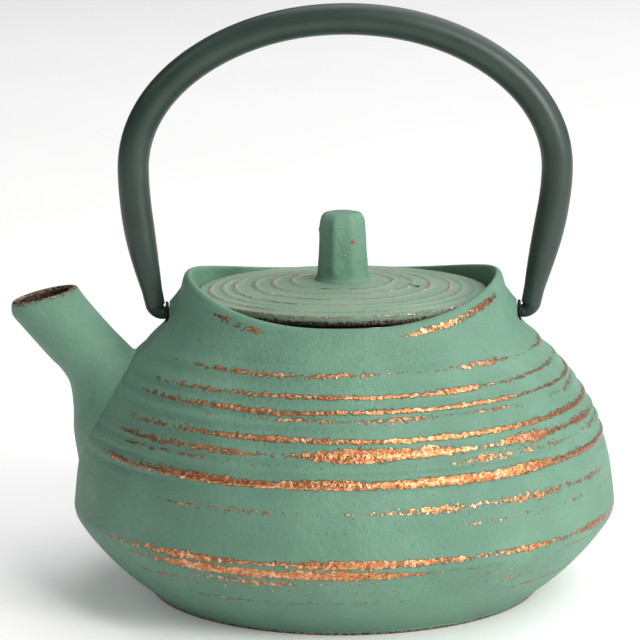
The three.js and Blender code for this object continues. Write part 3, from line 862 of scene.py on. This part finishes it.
points = places(spout)
depth = lip_depth(points)
bore = np.arange(len(points)) >= spout_outside.shape[0] * SPOUT_COLUMNS
angle = np.arctan2(points[:, 1], points[:, 2])
lip_wear = 0.75 + 0.12 * wander(angle, 71, 9, 2)
paint(spout, "rub", np.where(bore, -0.9, 0.05 - np.abs(depth - lip_wear) * 1.6))
paint(spout, "tarnish_and_shade", np.full(len(points), 0.6))
paint(spout, "bare", np.where(bore, 1.0, 1 - smooth_step(0.0, 1.0, depth / lip_wear)))
paint(spout, "dark", np.where(bore, 0.72 * smooth_step(0.2, 1.2, depth), 0.0))
hand_in(spout, "spout", "pot", pot_paint)

# %% [markdown]
# ## The lid
#
# The lid is a low dome with fine raised rings, painted like the pot, so copper shows on the
# crests of its rings. Its green is lighter and greyer than the pot's and its copper paler, a
# painted sheen where the light grazes its top. The paint ends part way down its side, and bare
# iron, rough from the sand, shows below. A skirt keeps the lid from sliding off, and a small
# vent lets steam out.

# %% The lid's profile
LID_Z = rim_high[2] + 0.3
LID_EDGE_Z = LID_Z + 2.7
LID_TOP_Z = lid_high[2]
LID_FLAT_R = knob_high[0] + 0.6
LID_CRESTS = np.array([0.915, 0.825, 0.743, 0.608, 0.479, 0.347]) * LID_R
SKIRT_R = wall_high[0] - 1.0
SKIRT_FOOT_Z = lid_low[2]
LID_COLUMNS = 256
LID_RING_RISE, LID_RING_HALF = 0.3, 1.2
VENT_X, VENT_Y, VENT_R = 19.5, -5, 1.6


def lid_top(radius):
    """A straight slope from the edge up to the flat middle, with a low round ring
    h cos^2(pi d / 2w) at the distance d from each crest, h being its rise, w half its width."""
    slope = LID_EDGE_Z + (LID_TOP_Z - LID_EDGE_Z) * (LID_R - radius) / (LID_R - LID_FLAT_R)
    away = np.abs(radius[:, None] - LID_CRESTS).min(1)
    ring = LID_RING_RISE * np.cos(np.pi / 2 * np.clip(away / LID_RING_HALF, 0, 1))**2
    return np.minimum(slope, LID_TOP_Z) + ring


top_r = np.linspace(LID_R - 0.7, 3.0, 92)
under = rounded([
    [3.0, LID_TOP_Z - 2.8], [SKIRT_R - 5, LID_EDGE_Z - 2.2], [SKIRT_R - 2.2, LID_EDGE_Z - 2.6],
    [SKIRT_R - 2.2, SKIRT_FOOT_Z], [SKIRT_R - 0.3, SKIRT_FOOT_Z], [SKIRT_R, LID_Z],
    [LID_R, LID_Z], [LID_R, LID_EDGE_Z], [top_r[0], lid_top(top_r[:1])[0]],
], 0.5, 4)
lid_profile = np.vstack([under[:-1], np.stack([top_r, lid_top(top_r)], -1)])
lid_profile = np.vstack([[0, LID_TOP_Z - 2.8], lid_profile, [0, LID_TOP_Z]])
lid = turned_piece("lid_plate_cast", lid_profile, LID_COLUMNS)
cut(
    lid,
    rod((VENT_X, VENT_Y, LID_Z), (VENT_X, VENT_Y, LID_TOP_Z + 2), VENT_R, 24),
    rod((0, 0, LID_Z), (0, 0, LID_TOP_Z + 2), 2.8, 24),
)

points = places(lid)
angle, radius = polar(points)
is_top = points[:, 2] > lid_top(radius) - 0.25
crest = 0.25 - np.abs(radius - LID_R + 0.35)
for i, r in enumerate(LID_CRESTS):
    line = r + 0.12 * wander(angle, 50 + i, 5, 2)
    width = 0.16 + 0.16 * wander(angle, 60 + i, 12, 3) + 0.14 * np.abs(np.cos(angle))
    width = width - (0.3 if i == 1 else 0) - (0.7 * hump(angle, front(80), 1.3) if i == 0 else 0)
    crest = np.maximum(crest, width - np.abs(radius - line))
paint(lid, "rub", np.where(points[:, 2] > LID_EDGE_Z - 0.6, crest, NOT_RUBBED))
paint(lid, "tarnish_and_shade", smooth_step(-0.55, -0.85, np.sin(angle)))
paint(lid, "bare", 1 - smooth_step(LID_EDGE_Z - 1.3, LID_EDGE_Z - 0.7, points[:, 2]))
under_edge = 0.9 * (1 - smooth_step(LID_Z + 0.3, LID_EDGE_Z - 1.6, points[:, 2]))
paint(lid, "dark", np.where(is_top, 0.0, under_edge))

# A lighter, greyer green and paler copper than the pot's: painted sheen and painted reflection on
# the lid's top.
lid_paint_with_sheen = paint_finish(
    "lid_paint_with_sheen", rgb(133, 159, 137), rgb(119, 148, 126), rgb(214, 180, 158), rgb(240, 220, 202),
    rgb(226, 196, 176), streak=0.6)
hand_in(lid, "lid_plate", "lid", lid_paint_with_sheen)

# %% [markdown]
# ## The knob
#
# The knob is a tall plug with eight soft facets, each a little different, as if cut by hand in
# the mould's sand. A soft polygon gives that: a plain polygon's radius is the least of the
# distances to its sides, and a power mean in place of the least rounds its edges.

# %% The knob
KNOB_PROFILE = np.array([
    [8.0, -0.28], [7.6, 0.25], [7.3, 1.2], [7.12, 4.0], [6.95, 7.5], [6.75, 11.0], [6.55, 13.6],
    [6.4, 15.6], [6.1, 16.9], [5.5, 17.8], [4.7, 18.25], [3.5, 18.45], [1.8, 18.5],
])
KNOB_COLUMNS = 128
FACETS = 8
FACET_TURN, EDGE_POWER = math.radians(1), 28.0
CHIP_ANGLE, CHIP_RADIUS, CHIP_HEIGHT, CHIP_SIZE = front(23), 6.4, 11.0, 1.1


def soft_polygon(angle, distances, turn, power):
    """(sum (cos(a - side) / distance)^p)^(-1/p) over the sides that face the angle."""
    side = turn + np.arange(len(distances)) * 2 * np.pi / len(distances)
    facing = np.maximum(np.cos(angle[:, None] - side), 0) / distances
    return (facing**power).sum(-1)**(-1 / power)


def knob_grid():
    """The profile's radius times the soft polygon, which fades out towards the foot, with a
    little unevenness that a hand would feel."""
    random = np.random.default_rng(3)
    angle = full_turn(KNOB_COLUMNS)
    shape = soft_polygon(angle, random.uniform(0.92, 1.0, FACETS), FACET_TURN, EDGE_POWER)
    profile = smooth_line(KNOB_PROFILE, 6)
    height = profile[:, 1:]
    faceted = 0.25 + 1.0 * smooth_step(0.3, 3.5, height)
    radius = profile[:, :1] * (1 + (shape / shape.mean() - 1) * faceted)
    dents = np.sin(height / 1.9 + 2.2 * wander(angle, 9, 4, 1)) * wander(angle, 10, 6, 2)
    radius = radius + 0.12 * dents * smooth_step(0.5, 3, height)
    off = np.abs(np.abs(angle) - np.pi)
    radius = radius + 0.5 * np.exp(-off**2 / 0.08 - (height - 13.6)**2 / 1.4)
    return upright(radius, angle, height + knob_low[2])


knob_points = knob_grid()
base_z, top_z = knob_points[0, 0, 2], knob_points[-1, 0, 2]
knob = closed_grid("lid_knob_cast", knob_points, [(0, 0, base_z), (0, 0, top_z)])
cut(knob, rod((0, 0, base_z - 2), (0, 0, rivet_high[2] + 0.3), rivet_radius + 0.3, 24))
points = places(knob)
angle = polar(points)[0]
chip = np.hypot((angle - CHIP_ANGLE) * CHIP_RADIUS, points[:, 2] - knob_low[2] - CHIP_HEIGHT)
paint(knob, "chip", CHIP_SIZE - chip)
paint(knob, "rub", np.full(len(points), -2.0))
hand_in(knob, "lid_knob", "lid", pot_paint)

# %% [markdown]
# ## The rivet that holds the knob
#
# A rivet comes up through the lid into the knob, with a washer under the lid. Both are small
# turned pieces in plain steel, which is a grey metal with faint rings from turning.

# %% Plain steel and stainless steel
def steel_finish(name, colour, roughness, grooves=0.35, axis=(0.0, 0.0, 1.0)):
    """Bright steel: a grey metal whose roughness and height vary in fine lines square to an
    axis, as the tool left them."""
    fin = Finish(name)
    lines = fin.noise(0.35, 2.0, fin.stretched(*(0.08 + 3.0 * np.array(axis))))
    stain = fin.noise(9.0, 3.0)
    tone = fin.mix(stain.rise(0.3, 0.7) * 0.5, rgb(*colour), rgb(*(0.86 * np.array(colour))))
    return fin.set(
        Base_Color=tone,
        Metallic=1.0,
        Roughness=roughness + (lines - 0.5) * 0.18 + (stain - 0.5) * 0.10,
        Normal=fin.bump(lines, 0.02, grooves),
    )


rivet_steel = steel_finish("rivet_steel", (176, 176, 172), 0.38)
stainless = steel_finish("stainless", (204, 205, 203), 0.27)

HEAD_TALL = 1.5
rivet = turned_piece("knob_rivet_turned", np.vstack([
    [0, rivet_low[2]],
    rounded([
        [0.4, rivet_low[2]], [rivet_head * 0.72, rivet_low[2] + 0.15],
        [rivet_head, rivet_low[2] + HEAD_TALL * 0.75], [rivet_head, rivet_low[2] + HEAD_TALL],
        [rivet_radius, rivet_low[2] + HEAD_TALL], [rivet_radius, rivet_high[2] - 0.4],
        [rivet_radius - 0.4, rivet_high[2]], [0.4, rivet_high[2]],
    ], 0.6, 5),
    [0, rivet_high[2]],
]), 64)
disc = turned_piece("knob_washer_turned", rounded([
    [rivet_radius + 0.3, disc_low[2] + 0.4], [rivet_radius + 0.3, disc_low[2]],
    [disc_high[0], disc_low[2]], [disc_high[0], disc_high[2]],
    [rivet_radius + 0.3, disc_high[2]], [rivet_radius + 0.3, disc_low[2] + 0.4],
], 0.18, 4)[:-1], 64, ring=True)
hand_in(rivet, "knob_rivet", "lid", rivet_steel)
hand_in(disc, "knob_washer", "lid", rivet_steel)

# %% [markdown]
# ## The strainer basket
#
# The basket hangs in the mouth by its rim and holds the leaves. Its wall and bottom are pierced
# with hundreds of small holes. Cutting each hole would be slow, so the sheet is made of cells:
# every cell is a square with an eight-sided hole, two skins and the hole's own wall. The same
# flat pattern is then bent, into a tube for the wall and into a disc for the bottom.

# %% A pierced sheet
def pierced_cells(across, up, hole, wrap):
    """A flat pattern of square cells, each one unit wide. Returns its points, the quads of one
    skin, the loop of points round each hole and the points in a row. The lattice has points at
    the cells' corners and at the middles of their sides; the hole's eight points lie on a
    circle, each facing its point of the square."""
    columns = 2 * across if wrap else 2 * across + 1
    i, j = np.meshgrid(np.arange(columns), np.arange(2 * up + 1))
    lattice = np.stack([i.ravel() / 2, j.ravel() / 2], -1)
    step = np.array([[0, 0], [1, 0], [2, 0], [2, 1], [2, 2], [1, 2], [0, 2], [0, 1]])
    a, b = (m.ravel() for m in np.meshgrid(np.arange(across), np.arange(up)))
    around = (2 * a[:, None] + step[:, 0]) % columns + (2 * b[:, None] + step[:, 1]) * columns
    turn = np.arctan2(step[:, 1] - 1, step[:, 0] - 1)
    ring = np.stack([np.cos(turn), np.sin(turn)], -1) * hole
    middle = np.stack([a + 0.5, b + 0.5], -1)
    rims = (middle[:, None] + ring).reshape(-1, 2)
    inner = len(lattice) + np.arange(len(a) * 8).reshape(-1, 8)
    quads = np.stack([
        around, np.roll(around, -1, 1), np.roll(inner, -1, 1), inner,
    ], -1).reshape(-1, 4)
    return np.vstack([lattice, rims]), quads, inner, columns


def two_skins(name, front_points, back_points, quads, holes, borders):
    """A sheet with a thickness: the quads of the front skin, those of the back one turned over,
    and walls along each hole and each border, a loop or line of points with the sheet on its
    left."""
    count = len(front_points)
    walls = [np.stack([holes, np.roll(holes, -1, 1), np.roll(holes, -1, 1) + count,
                       holes + count], -1).reshape(-1, 4)]
    for line in borders:
        walls.append(np.stack([line[1:], line[:-1], line[:-1] + count, line[1:] + count], -1))
    every = np.concatenate([quads, quads[:, ::-1] + count, *walls])
    return build(name, np.concatenate([front_points, back_points]), every)


WALL_OUT, SHEET = wall_high[0], 0.5
CELLS_ROUND, CELLS_UP = 96, 17
FLOOR_R = floor_high[0]


def basket_wall():
    """The flat pattern's x becomes the angle and its y the height. Its first and last rows of
    points are drawn out to the wall's ends, so plain bands are left there."""
    flat, quads, holes, columns = pierced_cells(CELLS_ROUND, CELLS_UP, 0.27, True)
    angle = flat[:, 0] / CELLS_ROUND * 2 * np.pi
    low, high = wall_low[2] + 2.5, wall_high[2] - 7.5
    height = low + (high - low) * flat[:, 1] / CELLS_UP
    first, last = np.arange(columns), np.arange(columns) + 2 * CELLS_UP * columns
    extra = len(flat) + np.arange(2 * columns).reshape(2, columns)
    angle = np.concatenate([angle, angle[first], angle[first]])
    height = np.concatenate([
        height, np.full(columns, wall_low[2]), np.full(columns, wall_high[2])])
    bands = [
        np.stack([low_row, np.roll(low_row, -1), np.roll(high_row, -1), high_row], -1)
        for low_row, high_row in ((extra[0], first), (last, extra[1]))
    ]
    loops = [np.append(extra[0], extra[0][0]), np.append(extra[1], extra[1][0])[::-1]]

    def bent(radius):
        return upright(radius, angle, height)

    return two_skins(
        "infuser_wall_pierced", bent(WALL_OUT), bent(WALL_OUT - SHEET),
        np.concatenate([quads, *bands]), holes, loops)


def square_to_disc(flat):
    """Bends a square from -1 to 1 into a round disc: rings of the square become circles, with
    radius the larger of |x| and |y|, and the angle follows their ratio."""
    x, y = flat[:, 0], flat[:, 1]
    radius = np.maximum(np.abs(x), np.abs(y))
    safe = np.maximum(radius, 1e-9)
    wide = np.abs(x) >= np.abs(y)
    ratio = np.where(wide, y / np.where(wide, np.sign(x + 1e-12) * safe, 1), 0)
    tall_ratio = np.where(~wide, x / np.where(~wide, np.sign(y + 1e-12) * safe, 1), 0)
    angle = np.where(wide, ratio * np.pi / 4, np.pi / 2 - tall_ratio * np.pi / 4)
    angle = angle + np.where(wide, x < 0, y < 0) * np.pi
    return np.stack([radius * np.cos(angle), radius * np.sin(angle)], -1)


CELLS_ACROSS = 28


def basket_bottom():
    """The square pattern, scaled to -1 to 1 and bent into a disc, with a slight dish."""
    flat, quads, holes, columns = pierced_cells(CELLS_ACROSS, CELLS_ACROSS, 0.25, False)
    disc_places = square_to_disc(flat / CELLS_ACROSS * 2 - 1) * FLOOR_R
    line = np.arange(columns)
    last = 2 * CELLS_ACROSS
    edge = np.concatenate([
        line, line[1:] * columns + last, last * columns + line[::-1][1:],
        line[::-1][1:] * columns,
    ])
    radius = np.hypot(disc_places[:, 0], disc_places[:, 1])
    dish = 0.25 * (1 - (radius / FLOOR_R)**2)

    def at(height):
        return np.column_stack([disc_places, height + dish])

    return two_skins(
        "infuser_bottom_pierced", at(floor_high[2]), at(floor_low[2]), quads, holes, [edge])


basket = basket_wall()
basket_floor = basket_bottom()
RIM_OUT = rim_high[0] - 0.7
RIM_TOP_Z = rim_high[2] - 0.2
COLLAR_R = MOUTH_R - 0.5
basket_rim = turned_piece("infuser_rim_rolled", rounded([
    [COLLAR_R - 0.8, rim_low[2] + 3], [COLLAR_R - 0.8, rim_low[2]], [COLLAR_R, rim_low[2]],
    [COLLAR_R, rim_high[2] - 0.8], [RIM_OUT - 0.2, rim_high[2] - 0.8],
    [RIM_OUT, rim_high[2] - 0.5], [RIM_OUT - 0.2, RIM_TOP_Z],
    [COLLAR_R - 0.8, RIM_TOP_Z], [COLLAR_R - 0.8, rim_low[2] + 3],
], 0.55, 5)[:-1], 192, ring=True)
hand_in(basket, "infuser_wall", "infuser", stainless)
hand_in(basket_floor, "infuser_bottom", "infuser", stainless)
hand_in(basket_rim, "infuser_rim", "infuser", stainless)

# %% [markdown]
# ## The handle
#
# The handle is a steel tube bent into a tall arch, with a solid hook in each end whose pin turns
# in the neck. Its line is drawn once, as a bender would: straight pin, tight bend, leaning leg,
# an easy curve and half an ellipse. A circle is carried along it, and its radius shrinks towards
# the ends. All rows are square to the line, so the tube keeps its thickness round the bends.

# %% The handle's line
ARCH_OFFSET = (tube_low[0] + tube_high[0]) / 2
TUBE_R = tube_high[1]
ARCH_HALF = tube_high[0] - ARCH_OFFSET - TUBE_R
SPRING_Z = PIVOT_Z + 40
ARCH_RISE = tube_high[2] - TUBE_R - SPRING_Z
FOOT_X = washer_high[0] + 0.3
PIN_END_X = hook_low[0]
BEND_R = 2.6
LEG_TILT = math.radians(11.8)
LEG_LENGTH = 4.4
CURVE_PULL = 11.0


def half_line(side):
    """From where the arch springs down to the pin's end, on one side: an easy curve
    (1-t)^3 a + 3t(1-t)^2 b + 3t^2(1-t) c + t^3 d, the leg, an arc and the straight pin."""
    lean = np.array([side * math.sin(LEG_TILT), math.cos(LEG_TILT)])
    centre = np.array([side * FOOT_X, PIVOT_Z + BEND_R])
    turn = np.linspace(LEG_TILT, np.pi / 2, 24)[:, None]
    arc = centre + BEND_R * np.hstack([side * np.cos(turn), -np.sin(turn)])
    leg_top = arc[0] + lean * LEG_LENGTH
    spring = np.array([ARCH_OFFSET + side * ARCH_HALF, SPRING_Z])
    t = np.linspace(0, 1, 80)[:, None]
    b, c = spring - (0, CURVE_PULL), leg_top + lean * CURVE_PULL
    curve = (1 - t)**3 * spring + 3 * t * (1 - t)**2 * b + 3 * t**2 * (1 - t) * c + t**3 * leg_top
    leg = leg_top + (arc[0] - leg_top) * np.linspace(0.1, 0.95, 12)[:, None]
    pin = np.array([[side * x, PIVOT_Z] for x in np.linspace(FOOT_X, PIN_END_X, 14)[1:]])
    return np.vstack([curve, leg, arc, pin])


turn = np.linspace(np.pi, 0, 260)[1:-1]
arch = np.stack([
    ARCH_OFFSET + ARCH_HALF * np.cos(turn),
    SPRING_Z + ARCH_RISE * np.sin(turn),
], -1)
LINE = np.vstack([half_line(-1)[::-1], arch, half_line(1)])
ALONG = np.concatenate([[0], np.cumsum(np.linalg.norm(np.diff(LINE, axis=0), axis=1))])
LENGTH = ALONG[-1]
PIN_LENGTH = FOOT_X - PIN_END_X
BEND_LENGTH = BEND_R * (np.pi / 2 - LEG_TILT)
TUBE_START = PIN_LENGTH + BEND_LENGTH + LEG_LENGTH
print(f"handle: {LENGTH:.0f} mm of line, tube from {TUBE_START:.1f} mm")


def swept(stations, columns=48, uneven=0.0):
    """Circles square to the line. At a distance s along it, with the unit tangent (tx, tz), a
    point is line(s) + r cos a (tz, 0, -tx) + r sin a (0, 1, 0)."""
    s, radius = np.asarray(stations, float).T
    point = np.stack([np.interp(s, ALONG, LINE[:, i]) for i in (0, 1)], -1)
    ahead = np.stack([np.interp(s + 0.4, ALONG, LINE[:, i]) for i in (0, 1)], -1)
    behind = np.stack([np.interp(s - 0.4, ALONG, LINE[:, i]) for i in (0, 1)], -1)
    tangent = ahead - behind
    tangent /= np.linalg.norm(tangent, axis=1, keepdims=True)
    angle = full_turn(columns)
    radius = radius[:, None] + uneven * np.sin(s[:, None] / 6.5 + 2 * wander(angle, 90, 3, 1))
    out = radius * np.cos(angle)
    return np.stack([
        point[:, :1] + out * tangent[:, 1:],
        radius * np.sin(angle) * np.ones_like(out),
        point[:, 1:] - out * tangent[:, :1],
    ], -1)


# %% The handle's pieces
TUBE_WALL = 1.1
TUBE_END_R = 2.85
TAPER_TOP = 27.0
FOOT_R = 1.8
PIN_R = 1.6


def tube_radius(s):
    """The tube's radius grows with a quarter sine from its ends up to the taper's top."""
    height = np.interp(s, ALONG, LINE[:, 1]) - PIVOT_Z
    low = np.interp(TUBE_START, ALONG, LINE[:, 1]) - PIVOT_Z
    share = np.clip((height - low) / (TAPER_TOP - low), 0, 1)
    return TUBE_END_R + (TUBE_R - TUBE_END_R) * np.sin(share * np.pi / 2)


s = np.linspace(TUBE_START, LENGTH - TUBE_START, 300)
inner_s = np.linspace(TUBE_START, LENGTH - TUBE_START, 90)[::-1]
tube = closed_grid("handle_tube_bent", np.concatenate([
    swept(np.stack([s, tube_radius(s)], -1), 56, 0.03),
    swept(np.stack([inner_s, tube_radius(inner_s) - TUBE_WALL], -1), 56),
]), ring=True)

bend = np.linspace(0, 1, 18)
leg = np.linspace(PIN_LENGTH + BEND_LENGTH + 0.3, TUBE_START - 0.02, 12)
LEG_R = TUBE_END_R - 0.12
SHANK_R = TUBE_END_R - TUBE_WALL - 0.05
hook_stations = np.vstack([
    [[0.0, PIN_R - 0.4], [0.4, PIN_R], [PIN_LENGTH * 0.5, PIN_R], [PIN_LENGTH - 0.35, PIN_R],
     [PIN_LENGTH - 0.3, FOOT_R - 0.25], [PIN_LENGTH - 0.05, FOOT_R]],
    np.stack([PIN_LENGTH + BEND_LENGTH * bend, FOOT_R + (LEG_R - FOOT_R) * bend**1.3], -1),
    np.stack([leg, np.linspace(LEG_R, TUBE_END_R, 12)], -1),
    [[TUBE_START, TUBE_END_R - 0.1], [TUBE_START + 0.01, SHANK_R], [TUBE_START + 7.6, SHANK_R],
     [TUBE_START + 8, SHANK_R - 0.4]],
])
left_hook_grid = swept(hook_stations, 48)
right_hook_grid = left_hook_grid * np.array([-1, -1, 1])


def hook(name, grid):
    """A hook's grid, closed at the middle of its first and last rings."""
    return closed_grid(name, grid, [grid[0].mean(0), grid[-1].mean(0)])


left_hook = hook("handle_hook_left_bent", left_hook_grid)
right_hook = hook("handle_hook_right_bent", right_hook_grid)


def handle_finish():
    """Satin dark grey-green paint on steel: a slow change of tone, a faint skin from spraying,
    and a few small light scuffs."""
    fin = Finish("handle_paint")
    cloudy = fin.noise(14.0, 3.0)
    skin = fin.noise(0.9, 2.0)
    scuffs = fin.dots(5.0, 0.10, 0.22)
    tone = fin.mix(cloudy.rise(0.3, 0.7), rgb(33, 50, 44), rgb(41, 59, 52))
    tone = fin.mix(scuffs * 0.5, tone, rgb(130, 145, 138))
    return fin.set(
        Base_Color=tone,
        Roughness=0.40 + (skin - 0.5) * 0.16 + (cloudy - 0.5) * 0.10,
        Normal=fin.bump(skin + fin.noise(0.3, 1.0) * 0.3, 0.05, 0.5),
        Specular_IOR_Level=0.5,
    )


handle_paint = handle_finish()
hand_in(tube, "handle_tube", "handle", handle_paint)
hand_in(left_hook, "handle_hook_left", "handle", handle_paint)
hand_in(right_hook, "handle_hook_right", "handle", handle_paint)

# %% [markdown]
# ## The pivot washers
#
# A thin washer lies between each ear and the handle's foot. The paint has run up against it and
# left a small burr on top, so its edge is not quite round.

# %% The washers
WASHER_COLUMNS, WASHER_THICK = 72, 0.8


def washer_grid():
    """A ring turned about the pivot axis: first about Z, with a burr exp(-(a - up)^2 / 0.05)
    on its edge, and then laid over by (x, y, z) -> (z, y, -x)."""
    profile = rounded([
        [PIN_R + 0.35, 0.35], [PIN_R + 0.35, 0.0], [washer_high[1], 0.0],
        [washer_high[1], WASHER_THICK], [PIN_R + 0.35, WASHER_THICK], [PIN_R + 0.35, 0.35],
    ], 0.2, 4)[:-1]
    grid = turned(profile, WASHER_COLUMNS)
    angle = full_turn(WASHER_COLUMNS)
    off = np.abs((angle - np.pi + np.pi) % (2 * np.pi) - np.pi)
    burr = 1 + 0.10 * np.exp(-off**2 / 0.05) * (np.hypot(grid[..., 0], grid[..., 1]) > 2.4)
    x, y, z = grid[..., 0] * burr, grid[..., 1] * burr, grid[..., 2]
    return np.stack([z + washer_low[0], y, PIVOT_Z - x], -1)


washer_paint = steel_finish("washer_steel", (48, 54, 50), 0.5, 0.5, (1.0, 0.0, 0.0))
for name, side in (("left", -1), ("right", 1)):
    washer = closed_grid(
        f"pivot_washer_{name}_turned", washer_grid() * np.array([side, side, 1]), ring=True)
    hand_in(washer, f"pivot_washer_{name}", "pot", washer_paint)

# %% [markdown]
# ## Stage and light
#
# A plain pale floor, soft lights from the front right that make the copper glint, a faint one
# from the left for the inside of the neck, and a wide one overhead, as in a catalogue. The sky is
# dim on the left, so that side falls into soft shade. The camera looks a little down on the pot,
# from far off with a long lens.

# %% Floor, sky and lamps
def make_floor():
    """A flat pale floor, three metres out to each side."""
    reach = 4000.0
    square = [[-reach, -reach, 0], [reach, -reach, 0], [reach, reach, 0], [-reach, reach, 0]]
    floor = build("studio_floor", np.array(square), [[0, 1, 2, 3]])
    fin = Finish("floor_pale")
    tone = fin.mix(fin.noise(300.0, 2.0).rise(0.3, 0.7), (0.88, 0.88, 0.88, 1), (0.9, 0.9, 0.9, 1))
    floor.data.materials.append(fin.set(
        Base_Color=tone, Roughness=0.9, Specular_IOR_Level=0.1,
        Emission_Color=(1.0, 1.0, 1.0, 1.0), Emission_Strength=0.14))


def make_lamp(name, place, wide, tall, power, colour=(1, 1, 1)):
    """A soft box that looks at the middle of the pot, with its tall side upright."""
    data = bpy.data.lights.new(name, "AREA")
    data.shape = "RECTANGLE"
    data.size, data.size_y = wide, tall
    data.energy, data.color = power, colour
    lamp = bpy.data.objects.new(name, data)
    lamp.location = place
    towards = Vector((0, 0, 0.06)) - Vector(place)
    lamp.rotation_mode = "QUATERNION"
    lamp.rotation_quaternion = towards.to_track_quat("-Z", "Y")
    bpy.context.scene.collection.objects.link(lamp)


def make_sky(left, right):
    """A grey sky that grows from dim on the left to brighter on the right. The direction of
    sight gives the place on the ramp, (x + 1) / 2."""
    world = bpy.data.worlds.new("studio")
    world.use_nodes = True
    nodes, links = world.node_tree.nodes, world.node_tree.links
    sight = nodes.new("ShaderNodeTexCoord")
    axes = nodes.new("ShaderNodeSeparateXYZ")
    grey = nodes.new("ShaderNodeMapRange")
    grey.inputs["From Min"].default_value = -1.0
    grey.inputs["To Min"].default_value = left
    grey.inputs["To Max"].default_value = right
    links.new(sight.outputs["Generated"], axes.inputs[0])
    links.new(axes.outputs["X"], grey.inputs["Value"])
    links.new(grey.outputs[0], nodes["Background"].inputs["Color"])
    bpy.context.scene.world = world


make_floor()
make_sky(0.05, 0.36)
make_lamp("key", (0.60, -0.92, 0.86), 0.40, 1.0, 8.0, (1.0, 0.98, 0.95))
make_lamp("side", (1.2, -0.25, 0.4), 0.7, 0.7, 1.5)
make_lamp("glint", (0.92, -0.77, 0.52), 0.24, 0.5, 7.5, (1.0, 0.98, 0.94))
make_lamp("fill", (-0.8, -0.25, 0.95), 0.5, 0.5, 1.2)
make_lamp("overhead", (0.9, 0.9, 2.2), 3.4, 3.4, 63.0)
bpy.context.scene.view_settings.view_transform = "Standard"

# %% Camera
def aim(distance, height, pitch, yaw, roll, focal):
    """A camera in front of the pot: its forward, right and up directions come from the pitch
    and yaw, and the roll then turns right and up about forward."""
    pitch, yaw, roll = (math.radians(x) for x in (pitch, yaw, roll))
    forward = np.array([
        math.sin(yaw) * math.cos(pitch), math.cos(yaw) * math.cos(pitch), -math.sin(pitch)])
    right = np.array([math.cos(yaw), -math.sin(yaw), 0.0])
    up = np.cross(right, forward)
    matrix = np.eye(4)
    matrix[:3, 0] = math.cos(roll) * right + math.sin(roll) * up
    matrix[:3, 1] = math.cos(roll) * up - math.sin(roll) * right
    matrix[:3, 2] = -forward
    matrix[:3, 3] = (0, -distance, height)
    data = bpy.data.cameras.new("camera")
    data.sensor_width = 36
    data.lens = focal
    camera = bpy.data.objects.new("camera", data)
    camera.matrix_world = Matrix(matrix.tolist())
    bpy.context.scene.collection.objects.link(camera)
    bpy.context.scene.camera = camera


aim(0.8365, 0.2344, 10.81, -0.44, -0.40, 172.95)
